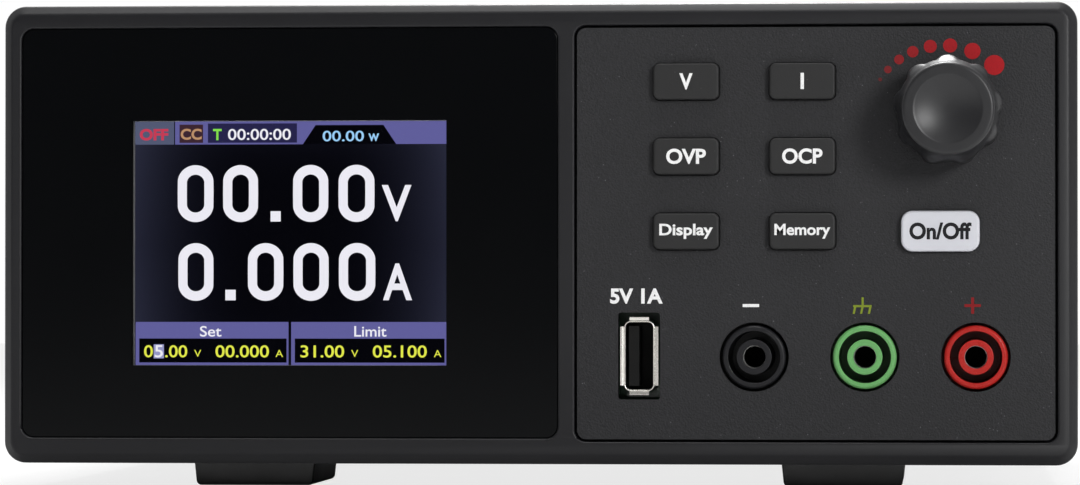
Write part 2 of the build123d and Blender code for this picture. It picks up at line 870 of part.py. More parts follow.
def chassis():
    """Bent base with side flanges and a front frame that the bezel is screwed to."""
    outer = Pos(0, base_z) * from_base(2 * frame_x, flange_h)
    inner = Pos(0, floor_z) * from_base(2 * (frame_x - plate_t), flange_h)
    body = block(outer - inner, frame_y, rear_y)
    relief_x = case_w / 2 - boss_in - small_head_r - head_room
    relief_z = boss_in + small_head_r + head_room
    relief_y = frame_y + plate_t + small_head_h + head_room
    for sx in (-1, 1):
        relief = Pos(sx * (relief_x + frame_x) / 2, base_z) * from_base(frame_x - relief_x, relief_z - base_z)
        body -= block(relief, frame_y, relief_y)
    frame_h = frame_top - base_z
    frame = Pos(0, base_z) * from_base(2 * frame_x, frame_h)
    frame = fillet(top_corners(frame), sheet_corner)
    hole = RectangleRounded(2 * (frame_x - frame_rim), frame_h - 2 * frame_rim, frame_corner)
    body += block(frame - Pos(0, base_z + frame_h / 2) * hole, frame_y, frame_y + plate_t)
    for x, z in boss_places:
        body -= bar(x, z, small_screw_r + hole_room, frame_y, frame_y + plate_t)
    for x, y in foot_screw_places + rear_screw_places:
        body -= stack(Pos(x, y) * Circle(case_hole_r), base_z, floor_z)
    for hole in cover_screw_holes(frame_x):
        body -= hole
    slot = SlotOverall(floor_slot_l, floor_slot_w, rotation=90)
    slots = rows_of(slot, floor_pitch_x, floor_pitch_y, floor_columns, floor_rows)
    return body - stack(Pos(0, (foot_screw_y + rear_foot_y) / 2) * slots, base_z, floor_z)


def top_cover():
    """Top and two sides from one sheet, with rows of upright slots in both sides."""
    height = cover_top - base_z
    outer = Pos(0, base_z) * from_base(2 * cover_out_x, height)
    outer = fillet(top_corners(outer), cover_corner)
    inner = Pos(0, base_z) * from_base(2 * cover_in_x, height - cover_t)
    inner = fillet(top_corners(inner), sheet_corner)
    cover = block(outer - inner, cover_y, case_d)
    slot = SlotOverall(vent_h, vent_w, rotation=90)
    vents = rows_of(slot, vent_pitch, vent_row_pitch, vent_count, vent_rows)
    vents = Pos(cover_y + vent_back, (base_z + cover_top) / 2) * vents
    cover -= across(vents, -cover_out_x, cover_out_x)
    for hole in cover_screw_holes(cover_out_x):
        cover -= hole
    return cover


def fan_guard():
    """Ring-shaped slots crossed by two bars, so that rings are left over the fan."""
    pitch = (duct_r - guard_eye) / guard_rings
    slots = Sketch()
    for n in range(guard_rings):
        outer = duct_r - n * pitch
        slots += Circle(outer) - Circle(outer - pitch + guard_bar)
    cross = Rectangle(2 * fan_w, strut_w) + Rectangle(strut_w, 2 * fan_w)
    return Pos(fan_x, rear_z) * (slots - Rot(0, 0, 45) * cross)


fan_holes = corners(fan_x, rear_z, fan_w / 2 - fan_hole_in, fan_w / 2 - fan_hole_in)


def rear_panel():
    """Flat plate with flanges above and below, standing on the chassis base."""
    height = frame_top - floor_z
    corner = (Align.MIN, Align.MIN)
    front = rear_y - rear_flange
    outer = Pos(front, floor_z) * Rectangle(rear_flange + plate_t, height, align=corner)
    hollow = Rectangle(rear_flange, height - 2 * plate_t, align=corner)
    reach = frame_x - cover_corner
    panel = across(outer - Pos(front, floor_z + plate_t) * hollow, -reach, reach)
    wings = Pos(0, floor_z + flange_h) * from_base(2 * frame_x, height - flange_h)
    panel += block(fillet(top_corners(wings), sheet_corner), rear_y, case_d)
    panel -= block(fan_guard(), rear_y, case_d)
    for x, z in fan_holes:
        panel -= bar(x, z, fan_hole_r + screw_gap, rear_y, case_d)
    inlet_hole = RectangleRounded(inlet_w + 2 * inlet_fit, inlet_h + 2 * inlet_fit, inlet_corner)
    panel -= block(Pos(inlet_x, rear_z) * inlet_hole, rear_y, case_d)
    rocker_hole = Rectangle(rocker_body_w + 2 * inlet_fit, rocker_body_h + 2 * inlet_fit)
    panel -= block(Pos(rocker_x, rear_z) * rocker_hole, rear_y, case_d)
    for x, y in rear_screw_places:
        panel -= stack(Pos(x, y) * Circle(case_hole_r), floor_z, floor_z + plate_t)
    return panel


def cover_screws():
    """Cover screws in both sides, threaded into the chassis flanges."""
    length = cover_t + sheet_gap + plate_t + thread_out
    screw = pan_screw(case_screw_r, length, case_head_r, case_head_h)
    group = []
    for y in cover_screw_y:
        group.append(Pos(cover_out_x, y, cover_screw_z) * Rot(0, 90, 0) * screw)
        group.append(Pos(-cover_out_x, y, cover_screw_z) * Rot(0, -90, 0) * screw)
    return group


def rear_screws():
    """Screws up through the chassis base into the lower flange of the rear panel."""
    length = 2 * plate_t + thread_out
    screw = Rot(180, 0, 0) * pan_screw(case_screw_r, length, case_head_r, case_head_h)
    return [Pos(x, y, base_z) * screw for x, y in rear_screw_places]


def bezel_screws():
    length = plate_t + bezel_screw_l
    screw = Rot(-90, 0, 0) * pan_screw(small_screw_r, length, small_head_r, small_head_h)
    return [Pos(x, frame_y + plate_t, z) * screw for x, z in boss_places]


# Feet

leg_axis_y = front_foot_y + leg_axis_in
leg_axis_z = -foot_h + leg_lift + leg_t / 2


def front_foot(x):
    """Tapered base with a recess for the leg, open at the front edge of the underside."""
    low_w = foot_w / 2 - foot_taper
    outline = Polygon(
        (-foot_w / 2, base_z), (-low_w, -foot_h), (low_w, -foot_h), (foot_w / 2, base_z), align=None
    )
    outline = Pos(x, 0) * fillet(outline.vertices().group_by(Axis.Y)[0], foot_round)
    base = block(outline, front_foot_y, front_foot_y + foot_d)
    recess_top = leg_axis_z + leg_barrel_r + leg_gap
    recess_y = leg_axis_y - leg_barrel_r - leg_gap
    recess_d = leg_axis_y + leg_l + leg_gap - recess_y
    recess = Rectangle(leg_w + 2 * leg_gap, recess_d, align=(Align.CENTER, Align.MIN))
    base -= stack(Pos(x, recess_y) * recess, -foot_h, recess_top)
    pin_reach = leg_w / 2 + leg_pin_l + leg_pin_end
    pin_hole = Pos(leg_axis_y, leg_axis_z) * Circle(leg_pin_r + leg_pin_gap)
    base -= across(pin_hole, x - pin_reach, x + pin_reach)
    return base - foot_bore(x, foot_screw_y)


def foot_bore(x, y):
    """Hole for a foot screw with the recess that its head lies in."""
    hole = stack(Pos(x, y) * Circle(case_hole_r), -foot_h, base_z)
    return hole + stack(Pos(x, y) * Circle(case_head_r + hole_room), -foot_h, foot_head_in - foot_h)


def front_foot_bases():
    return [front_foot(-foot_x), front_foot(foot_x)]


def tilt_leg(x):
    """Flip-out leg, folded back under the foot, with its hinge pins."""
    plate = Pos(leg_axis_y + leg_l / 2, leg_axis_z) * Rectangle(leg_l, leg_t)
    plate = fillet(plate.vertices().group_by(Axis.X)[-1], leg_tip)
    profile = plate + Pos(leg_axis_y, leg_axis_z) * Circle(leg_barrel_r)
    leg = across(profile, x - leg_w / 2, x + leg_w / 2)
    pin_reach = leg_w / 2 + leg_pin_l
    leg += across(Pos(leg_axis_y, leg_axis_z) * Circle(leg_pin_r), x - pin_reach, x + pin_reach)
    grip = Pos(x, leg_axis_y + leg_l - grip_in) * SlotOverall(grip_w, grip_h)
    underside = leg_axis_z - leg_t / 2
    return leg - stack(grip, underside, underside + grip_deep)


def rear_feet():
    """Round rubber feet, each with a recess for its screw."""
    group = []
    for x in (-foot_x, foot_x):
        foot = stack(Pos(x, rear_foot_y) * Circle(rear_foot_r), -foot_h, base_z)
        foot = chamfer(foot.faces().sort_by(Axis.Z)[0].edges(), foot_taper)
        group.append(foot - foot_bore(x, rear_foot_y))
    return group


def foot_screws():
    seat_z = foot_head_in - foot_h
    length = floor_z + thread_out - seat_z
    screw = Rot(180, 0, 0) * pan_screw(case_screw_r, length, case_head_r, case_head_h)
    return [Pos(x, y, seat_z) * screw for x, y in foot_screw_places]


# Fan

hub_y = rear_y - fan_web


def fan_frame():
    """Square frame, round duct, and the motor base held by four struts at the outlet."""
    place = Pos(fan_x, rear_z)
    frame = block(place * RectangleRounded(fan_w, fan_w, fan_corner), fan_y, rear_y)
    frame -= block(place * Circle(duct_r), fan_y, rear_y)
    side = fan_w - fan_lug
    waist = Rectangle(fan_w, fan_w) - Circle(duct_r + fan_ring)
    waist &= Rectangle(side, fan_w) + Rectangle(fan_w, side)
    frame -= block(place * waist, fan_y + fan_rim, rear_y - fan_rim)
    for x, z in fan_holes:
        frame -= bar(x, z, fan_hole_r, fan_y, rear_y)
    reach = 2 * duct_r + fan_ring
    struts = Rot(0, 0, 45) * (Rectangle(reach, strut_w) + Rectangle(strut_w, reach))
    frame += block(place * (struts + Circle(hub_r)), hub_y, rear_y)
    return frame - bar(fan_x, rear_z, spindle_r + spindle_gap, hub_y, rear_y)


def fan_blade(front, back):
    """Twisted blade, steeper at the hub than at its tip, trimmed to the duct."""
    span = back - front - 2 * blade_in
    sections = []
    for r, pitch in ((hub_r - blade_root, root_pitch), (duct_r, tip_pitch)):
        plane = Plane(origin=(r, (front + back) / 2, 0), x_dir=(0, 1, 0), z_dir=(1, 0, 0))
        sections.append(plane * Rot(0, 0, pitch) * Rectangle(span / cos(radians(pitch)), blade_t))
    return loft(sections) & bar(0, 0, duct_r - blade_gap, fan_y, rear_y)


def fan_rotor():
    """Hub cup with its blades, turning on its spindle in the motor base."""
    front = fan_y + rotor_inset
    back = hub_y - rotor_room
    rotor = bar(0, 0, hub_r, front, back)
    rotor = chamfer(front_edges(rotor), hub_edge)
    blade = fan_blade(front, back)
    for n in range(blades):
        rotor += Rot(0, n * 360 / blades, 0) * blade
    rotor += bar(0, 0, spindle_r, back, rear_y - spindle_end)
    return Pos(fan_x, 0, rear_z) * rotor


def fan_screws():
    length = plate_t + fan_thread
    screw = Rot(-90, 0, 0) * pan_screw(fan_hole_r - screw_gap, length, fan_head_r, fan_head_h)
    return [Pos(x, case_d, z) * screw for x, z in fan_holes]


# Mains inlet and fuse

inlet_back = inlet_face - inlet_d
plug_z = rear_z + plug_up
drawer_z = rear_z - drawer_down
drawer_back = inlet_face - drawer_d
tray_z = drawer_z - drawer_h / 2 + drawer_wall

# Earth blade upright in the middle, the other two below it on either side
pin_places = [
    (inlet_x + dx, plug_z + dz) for dx, dz in ((0, pin_rise), (-pin_pitch, -pin_rise), (pin_pitch, -pin_rise))
]


def plug_outline():
    """Recess outline with its two upper corners cut off."""
    outline = Rectangle(plug_w, plug_h)
    outline = chamfer(top_corners(outline), plug_cut)
    return Pos(inlet_x, plug_z) * fillet(outline.vertices(), plug_round)


def inlet_body():
    place = Pos(inlet_x, rear_z)
    rim = RectangleRounded(inlet_w + 2 * inlet_rim_w, inlet_h + 2 * inlet_rim_h, inlet_flange_corner)
    flange = block(place * rim, case_d, inlet_face)
    flange = chamfer(rear_edges(flange), inlet_bevel)
    body = flange + block(place * RectangleRounded(inlet_w, inlet_h, inlet_corner), inlet_back, case_d)
    body -= block(plug_outline(), inlet_face - plug_depth, inlet_face)
    bay = Rectangle(drawer_w + 2 * drawer_gap, drawer_h + 2 * drawer_gap)
    body -= block(Pos(inlet_x, drawer_z) * bay, drawer_back - drawer_gap, inlet_face)
    for x, z in pin_places:
        slot = Rectangle(pin_b + 2 * pin_fit, pin_a + 2 * pin_fit)
        body -= block(Pos(x, z) * slot, inlet_back, inlet_face)
    return body


def inlet_pins():
    """Contact blades, each with a push-on tab behind the inlet."""
    group = []
    tip_y = inlet_face - plug_depth + pin_l
    for x, z in pin_places:
        blade = block(Pos(x, z) * Rectangle(pin_b, pin_a), inlet_back, tip_y)
        blade = chamfer(rear_edges(blade), pin_tip)
        group.append(blade + block(Pos(x, z) * Rectangle(tab_t, tab_w), inlet_back - tab_l, inlet_back))
    return group


def fuse_drawer():
    """Tray with a cradle for the fuse and a lip to pull it by."""
    outer = Pos(inlet_x, drawer_z) * Rectangle(drawer_w, drawer_h)
    drawer = block(outer, drawer_back, inlet_face + drawer_lip_gap)
    lip_w = drawer_w + 2 * drawer_lip_w
    lip_h = drawer_h + 2 * drawer_lip_h
    lip = Pos(inlet_x, drawer_z) * RectangleRounded(lip_w, lip_h, plug_round)
    lip = block(lip, inlet_face + drawer_lip_gap, inlet_face + drawer_lip)
    drawer += chamfer(rear_edges(lip), inlet_bevel)
    pocket = from_base(drawer_w - 2 * drawer_wall, drawer_h - drawer_wall)
    pocket = block(Pos(inlet_x, tray_z) * pocket, drawer_back + drawer_back_t, inlet_face - drawer_front_t)
    return drawer - pocket


def fuse():
    """Glass tube fuse lying across the drawer, with a cap on each end."""
    section = Pos(drawer_back + drawer_back_t + fuse_r + fuse_back, tray_z + fuse_r)
    end = fuse_l / 2
    whole = across(section * Circle(fuse_r - fuse_cap_t), inlet_x - end, inlet_x + end)
    cap = section * Circle(fuse_r)
    whole += across(cap, inlet_x - end, inlet_x - end + fuse_cap_l)
    return whole + across(cap, inlet_x + end - fuse_cap_l, inlet_x + end)


# Mains rocker

pivot_y = case_d - rocker_in
trunnion_reach = rocker_w / 2 + trunnion_l


def rocker_housing():
    place = Pos(rocker_x, rear_z)
    rim = RectangleRounded(
        rocker_body_w + 2 * rocker_rim, rocker_body_h + 2 * rocker_rim, rocker_flange_corner
    )
    face = case_d + rocker_flange_t
    flange = chamfer(rear_edges(block(place * rim, case_d, face)), rocker_bevel)
    back = case_d - rocker_body_d
    body = flange + block(place * Rectangle(rocker_body_w, rocker_body_h), back, case_d)
    well = Rectangle(rocker_w + 2 * rocker_gap, 2 * (rocker_r + rocker_gap))
    body -= block(place * well, pivot_y - rocker_r - rocker_floor, face)
    reach = trunnion_reach + trunnion_gap
    hole = Pos(pivot_y, rear_z) * Circle(trunnion_r + trunnion_gap)
    return body - across(hole, rocker_x - reach, rocker_x + reach)


def mains_rocker():
    """Two sloped pads that meet in a shallow valley, ends rounded about the pivot, tipped to off."""
    slope = tan(radians(rocker_angle)) * rocker_r
    pads = Polygon(
        (-rocker_deep, -rocker_r), (rocker_proud + slope, -rocker_r), (rocker_proud, 0),
        (rocker_proud + slope, rocker_r), (-rocker_deep, rocker_r), align=None,
    )
    rocker = across(pads & Circle(rocker_r), -rocker_w / 2, rocker_w / 2)
    rocker += across(Circle(trunnion_r), -trunnion_reach, trunnion_reach)
    return Pos(rocker_x, pivot_y, rear_z) * Rot(-rocker_angle, 0, 0) * rocker


# Converter board

core_y = main_y + main_d / 2
sink_x = core_w / 2 + sink_off
sink_d = main_d - 2 * sink_in
row_x = (sink_x + sink_t / 2 + fin_l + main_w / 2) / 2
standoff_places = [
    (x, y)
    for x in (standoff_in - main_w / 2, 0, main_w / 2 - standoff_in)
    for y in (main_y + standoff_in, main_y + main_d - standoff_in)
]


def along_board(*sizes):
    """Middles of parts of these depths, spread evenly from the front to the rear of the board."""
    gap = (main_d - 2 * row_in - sum(sizes)) / (len(sizes) - 1)
    places = []
    y = main_y + row_in
    for size in sizes:
        places.append(y + size / 2)
        y += size + gap
    return places


right_row = along_board(2 * cap_r, 2 * cap_r, 2 * choke_r)
left_row = along_board(2 * small_cap_r, 2 * choke_r, 2 * choke_r)


def main_board():
    outline = Pos(0, core_y) * RectangleRounded(main_w, main_d, main_corner)
    board = stack(outline, board_z, deck_z)
    for x, y in standoff_places:
        board -= stack(Pos(x, y) * Circle(case_screw_r + hole_room), board_z, deck_z)
    return board


def board_standoffs():
    """Hex pillars on the chassis base with the screws that hold the main board on them."""
    group = []
    screw = pan_screw(case_screw_r, board_t, case_head_r, case_head_h)
    for x, y in standoff_places:
        pillar = stack(Pos(x, y) * RegularPolygon(standoff_r, 6), floor_z, board_z)
        group.append(pillar + Pos(x, y, deck_z) * screw)
    return group


def heatsinks():
    """Two combs of upright fins, flat on the inner side for the transistors."""
    group = []
    for side in (-1, 1):
        comb = Pos(side * sink_x, core_y) * Rectangle(sink_t, sink_d)
        fin_x = side * (sink_x + (sink_t + fin_l) / 2)
        pitch = (sink_d - fin_t) / (fins - 1)
        for n in range(fins):
            fin_y = core_y + (n - (fins - 1) / 2) * pitch
            comb += Pos(fin_x, fin_y) * Rectangle(fin_l, fin_t)
        group.append(stack(comb, deck_z, deck_z + sink_h))
    return group


def power_transistors():
    """Flat packages on the inner side of each heatsink, with legs down to the board."""
    group = []
    package_z = deck_z + package_up
    for side in (-1, 1):
        face = side * (sink_x - sink_t / 2)
        for y in (core_y - transistor_pitch / 2, core_y + transistor_pitch / 2):
            body = Pos(face - side * package_t / 2, y) * Rectangle(package_t, package_w)
            part = stack(body, package_z, package_z + package_h)
            for n in (-1, 0, 1):
                lead = Pos(face - side * lead_out, y + n * lead_pitch) * Rectangle(lead_t, lead_w)
                part += stack(lead, deck_z, package_z)
            group.append(part)
    return group


def transformer_core():
    """Pair of E-shaped halves round the winding, seen from the side as a ring with a middle leg."""
    core_z = deck_z + core_up
    inside_h = core_h - 2 * core_leg
    hole = from_base(core_w - 2 * core_leg, inside_h) - from_base(core_leg, inside_h)
    frame = Pos(0, core_z) * from_base(core_w, core_h) - Pos(0, core_z + core_leg) * hole
    return block(frame, core_y - core_t / 2, core_y + core_t / 2)


def transformer_winding():
    """Taped coil round the middle leg, standing on a bobbin with two rows of pins."""
    low = deck_z + core_up + core_leg + coil_gap
    high = deck_z + core_up + core_h - core_leg - coil_gap
    coil = RectangleRounded(core_w - 2 * (core_leg + coil_gap), coil_d, coil_corner)
    hole = Rectangle(core_leg + 2 * coil_gap, core_t + 2 * coil_gap)
    body = stack(Pos(0, core_y) * (coil - hole), low, high)
    ledge_y = (core_t + bobbin_d) / 2 + coil_gap
    for sy in (-1, 1):
        ledge = Pos(0, core_y + sy * ledge_y) * Rectangle(bobbin_w, bobbin_d)
        body += stack(ledge, deck_z + bobbin_up, low + bobbin_lap)
        pins = rows_of(Rectangle(coil_pin_w, coil_pin_w), coil_pin_pitch, 1, coil_pins, 1)
        body += stack(Pos(0, core_y + sy * ledge_y) * pins, deck_z, deck_z + bobbin_up)
    return body


def can(x, y, r, height):
    """Capacitor can with a rolled groove near its foot."""
    body = stack(Pos(x, y) * Circle(r), deck_z, deck_z + height)
    body = chamfer(body.faces().sort_by(Axis.Z)[-1].edges(), can_bevel)
    groove = Pos(x, y) * (Circle(r) - Circle(r - can_groove))
    groove_z = deck_z + can_groove_up
    return body - stack(groove, groove_z, groove_z + can_groove_h)


def bulk_capacitors():
    return [can(row_x, y, cap_r, cap_h) for y in right_row[:2]]


def output_capacitors():
    places = [(n - (small_caps - 1) / 2) * small_cap_pitch - row_x for n in range(small_caps)]
    return [can(x, left_row[0], small_cap_r, small_cap_h) for x in places]


def choke(x, y):
    """Wound ring lying on the board."""
    section = Rectangle(choke_r - choke_hole_r, choke_h, align=(Align.MIN, Align.MIN))
    section = chamfer(section.vertices(), choke_round)
    ring = revolve(Plane.XZ * Pos(choke_hole_r, 0) * section, Axis.Z)
    return Pos(x, y, deck_z) * ring


def chokes():
    """One for the mains filter on the right and two for the output on the left."""
    return [choke(row_x, right_row[2]), choke(-row_x, left_row[1]), choke(-row_x, left_row[2])]


nodes = {
    "front_bezel": front_bezel(),
    "display_window": display_window(),
    "lcd_module": lcd_module(),
    "lcd_board": lcd_board(),
    "control_panel": control_panel(),
    "output_key": key(output_place, output_w, output_h, output_corner),
    "key_switches": key_switches(),
    "control_board": control_board(),
    "board_screws": board_screws(),
    "encoder_body": encoder_body(),
    "encoder_rotor": encoder_rotor(),
    "encoder_shaft": encoder_shaft(),
    "encoder_nut": encoder_nut(),
    "encoder_knob": encoder_knob(),
    "usb_shell": usb_shell(),
    "usb_tongue": usb_tongue(),
    "terminal_negative": terminal(sockets_x[0]),
    "terminal_ground": terminal(sockets_x[1]),
    "terminal_positive": terminal(sockets_x[2]),
    "terminal_contacts": terminal_contacts(),
    "terminal_nuts": terminal_nuts(),
    "chassis": chassis(),
    "top_cover": top_cover(),
    "rear_panel": rear_panel(),
    "cover_screws": cover_screws(),
    "rear_screws": rear_screws(),
    "bezel_screws": bezel_screws(),
    "front_foot_bases": front_foot_bases(),
    "left_tilt_leg": tilt_leg(-foot_x),
    "right_tilt_leg": tilt_leg(foot_x),
    "rear_feet": rear_feet(),
    "foot_screws": foot_screws(),
    "fan_frame": fan_frame(),
    "fan_rotor": fan_rotor(),
    "fan_screws": fan_screws(),
    "inlet_body": inlet_body(),
    "inlet_pins": inlet_pins(),
    "fuse_drawer": fuse_drawer(),
    "fuse": fuse(),
    "rocker_housing": rocker_housing(),
    "mains_rocker": mains_rocker(),
    "main_board": main_board(),
    "board_standoffs": board_standoffs(),
    "heatsinks": heatsinks(),
    "power_transistors": power_transistors(),
    "transformer_core": transformer_core(),
    "transformer_winding": transformer_winding(),
    "bulk_capacitors": bulk_capacitors(),
    "output_capacitors": output_capacitors(),
    "chokes": chokes(),
}
for name, place in key_places.items():
    nodes[name] = key(place, key_w, key_h, key_corner)


def as_one(piece):
    return Compound(children=list(piece)) if isinstance(piece, list) else piece


pieces = {name: as_one(piece) for name, piece in nodes.items()}
boxes = [piece.bounding_box() for piece in pieces.values()]
middle_y = (min(box.min.Y for box in boxes) + max(box.max.Y for box in boxes)) / 2
stand = Pos(0, -middle_y, foot_h)

os.makedirs("parts", exist_ok=True)
for name, piece in pieces.items():
    export_step(stand * piece, f"parts/{name}.step")
depth = 2 * (middle_y - min(box.min.Y for box in boxes))
print("bezel", round(case_w, 3), "wide", round(case_h, 3), "high, its face at Y", round(-middle_y, 4))
print("depth over all", round(depth, 3), "height over all", round(case_h + foot_h, 3))
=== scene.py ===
import json
import math

import bmesh
import bpy
import numpy as np
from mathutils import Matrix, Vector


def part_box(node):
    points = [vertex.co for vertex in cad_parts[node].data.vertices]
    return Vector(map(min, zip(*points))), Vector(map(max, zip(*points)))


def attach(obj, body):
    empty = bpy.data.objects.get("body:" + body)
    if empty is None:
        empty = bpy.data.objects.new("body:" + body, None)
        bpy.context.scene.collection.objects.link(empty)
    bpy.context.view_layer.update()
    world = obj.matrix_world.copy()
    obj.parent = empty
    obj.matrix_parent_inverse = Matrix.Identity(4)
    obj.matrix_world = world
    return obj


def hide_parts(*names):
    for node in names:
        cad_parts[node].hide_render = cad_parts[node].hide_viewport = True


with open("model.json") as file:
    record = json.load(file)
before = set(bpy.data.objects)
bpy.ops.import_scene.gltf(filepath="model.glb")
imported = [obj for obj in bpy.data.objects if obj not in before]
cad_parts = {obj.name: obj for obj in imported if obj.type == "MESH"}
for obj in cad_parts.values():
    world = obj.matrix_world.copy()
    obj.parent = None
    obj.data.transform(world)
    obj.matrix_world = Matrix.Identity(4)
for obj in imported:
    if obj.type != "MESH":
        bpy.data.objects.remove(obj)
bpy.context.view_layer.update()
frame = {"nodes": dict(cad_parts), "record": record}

mm = 0.001
slotOf = {part["node"]: part["material_slot"] for part in frame["record"]["subparts"]}
bodyOf = {node: body for body, group in frame["record"]["behaviour"]["bodies"].items() for node in group}


def corners(node):
    low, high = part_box(node)
    return np.array(low), np.array(high)


def middle(node):
    low, high = corners(node)
    return (low + high) / 2


def toned(colour, level):
    return tuple(c * level for c in colour)


# Shaders

class Wire:
    # one socket of a node tree, or the result of a sum on sockets
    def __init__(self, tree, socket):
        self.tree = tree
        self.socket = socket

    def maths(self, operation, *values):
        return self.tree.node("ShaderNodeMath", {"operation": operation}, *values)

    def __add__(self, other):
        return self.maths("ADD", self, other)

    def __sub__(self, other):
        return self.maths("SUBTRACT", self, other)

    def __rsub__(self, other):
        return self.maths("SUBTRACT", other, self)

    def __mul__(self, other):
        return self.maths("MULTIPLY", self, other)

    def __gt__(self, other):
        return self.maths("GREATER_THAN", self, other)

    def __abs__(self):
        return self.maths("ABSOLUTE", self)

    __radd__ = __add__
    __rmul__ = __mul__

    def between(self, low, high):
        # 0 at low, 1 at high, eased in between
        return self.tree.node("ShaderNodeMapRange", {"interpolation_type": "SMOOTHSTEP"}, self, low, high)


class Tree:
    # the nodes of a material or of the world
    def __init__(self, tree):
        self.tree = tree

    def node(self, kind, settings, *values, out=0):
        made = self.tree.nodes.new(kind)
        for key, value in settings.items():
            setattr(made, key, value)
        for socket, value in zip(made.inputs, values):
            self.plug(socket, value)
        return Wire(self, made.outputs[out])

    def plug(self, socket, value):
        # None leaves the socket as it is
        if isinstance(value, Wire):
            self.tree.links.new(value.socket, socket)
        elif value is not None:
            socket.default_value = value

    def axis(self, spot, number):
        return self.node("ShaderNodeSeparateXYZ", {}, spot, out=number)


class Paint(Tree):
    # a material that is painted with nodes round one principled shader
    def __init__(self, name):
        self.material = bpy.data.materials.new(name)
        self.material.use_nodes = True
        super().__init__(self.material.node_tree)
        self.shader = self.tree.nodes["Principled BSDF"]

    def set(self, **inputs):
        for name, value in inputs.items():
            self.plug(self.shader.inputs[name.replace("_", " ")], value)

    def place(self, stretch=(1, 1, 1), centre=(0, 0, 0)):
        # object coordinates in metres, measured from a centre and stretched
        spot = self.node("ShaderNodeTexCoord", {}, out="Object")
        spot = self.node("ShaderNodeVectorMath", {"operation": "SUBTRACT"}, spot, centre)
        return self.node("ShaderNodeVectorMath", {"operation": "MULTIPLY"}, spot, stretch)

    def noise(self, size, detail=2.0, stretch=(1, 1, 1), roughness=0.55):
        return self.node("ShaderNodeTexNoise", {}, self.place(stretch), None, 1 / size, detail, roughness)

    def cells(self, size, feature="F1"):
        return self.node("ShaderNodeTexVoronoi", {"feature": feature}, self.place(), None, 1 / size)

    def mix(self, share, first, second):
        # colours blended by a share from 0 to 1; inputs 6 and 7 and output 2 are the ones for colours
        made = self.tree.nodes.new("ShaderNodeMix")
        made.data_type = "RGBA"
        self.plug(made.inputs[0], share)
        for number, colour in ((6, first), (7, second)):
            self.plug(made.inputs[number], colour if isinstance(colour, Wire) else (*colour, 1))
        return Wire(self, made.outputs[2])

    def bump(self, height, depth):
        return self.node("ShaderNodeBump", {}, 1.0, depth, None, height)

    def tint(self, strength):
        # the colour that each mark's points carry, made weaker by a strength below 1
        colour = self.node("ShaderNodeAttribute", {"attribute_name": "tint"})
        return self.node("ShaderNodeVectorMath", {"operation": "SCALE"}, colour, None, None, strength)


def dusted(paint, shade, look, share):
    # light specks the size of dust, gathered in clouds
    specks = 1 - paint.cells(look["dust"]).between(*look["dustEdge"])
    clouds = paint.noise(look["cloud"]).between(*look["cloudEdge"])
    return paint.mix(specks * clouds * share, shade, look["dustTone"])


# Moulded plastic: uneven tone, fine grain in the surface, and dust-size light specks
plastic = {
    "patch": 9 * mm,         # size of the slow changes in tone and gloss
    "mottle": 1.1 * mm,      # and of the quick ones
    "patchGloss": 0.1,       # how far each moves the roughness
    "mottleGloss": 0.06,
    "dust": 1.1 * mm,
    "dustEdge": (0.05, 0.12),
    "cloud": 3 * mm,
    "cloudEdge": (0.52, 0.66),
    "dustTone": (0.32, 0.32, 0.34),
}


def moulded(name, colour, rough, grain=0.3 * mm, depth=0.01 * mm, tone=0.12, specks=0.0, **fixed):
    paint = Paint(name)
    patches = paint.noise(plastic["patch"], 3)
    mottle = paint.noise(plastic["mottle"], 3)
    shade = paint.mix(patches * 0.5 + mottle * 0.5, toned(colour, 1 - tone), toned(colour, 1 + tone))
    if specks:
        shade = dusted(paint, shade, plastic, specks)
    uneven = (patches - 0.5) * plastic["patchGloss"] + (mottle - 0.5) * plastic["mottleGloss"]
    paint.set(Base_Color=shade, Roughness=rough + uneven)
    paint.set(Normal=paint.bump(paint.noise(grain, 2), depth), **fixed)
    return paint.material


def socketPlastic(name, colour, rough):
    return moulded(name, colour, rough, 0.2 * mm, 0.003 * mm, Specular_IOR_Level=0.25)


# Sanded paint of the control panel: close grain that catches the light, with stray light grains
sand = {
    "grain": 0.32 * mm,
    "grainEdge": (0.3, 0.7),
    "grit": 0.42 * mm,
    "patch": 16 * mm,
    "dark": 0.62,            # darkest and lightest grains, as shares of the colour
    "light": 1.38,
    "depth": 0.075 * mm,
    "rough": 0.56,
    "uneven": 0.3,           # how far the grain moves the roughness
    "sheen": 0.26,
    "dust": 1.0 * mm,
    "dustEdge": (0.05, 0.13),
    "dustShare": 0.3,
    "cloud": 2.3 * mm,
    "cloudEdge": (0.5, 0.64),
    "dustTone": (0.3, 0.3, 0.32),
}


def sanded(name, colour):
    paint = Paint(name)
    grains = paint.noise(sand["grain"], 3)
    share = grains.between(*sand["grainEdge"]) * 0.7 + paint.noise(sand["patch"], 3) * 0.3
    shade = paint.mix(share, toned(colour, sand["dark"]), toned(colour, sand["light"]))
    shade = dusted(paint, shade, sand, sand["dustShare"])
    paint.set(Base_Color=shade, Roughness=(grains - 0.5) * sand["uneven"] + sand["rough"])
    height = grains + paint.cells(sand["grit"]) * 0.5
    paint.set(Normal=paint.bump(height, sand["depth"]), Specular_IOR_Level=sand["sheen"])
    return paint.material


# Metal: tone and gloss drawn out along one direction, with cloudy patches over it
metal = {
    "streak": 0.25 * mm,
    "streakGloss": 0.16,     # how far the streaks move the roughness
    "cloud": 7 * mm,
    "cloudGloss": 0.08,      # and the clouds
    "dark": 0.78,            # darkest tone, as a share of the colour
    "depth": 0.004 * mm,
}


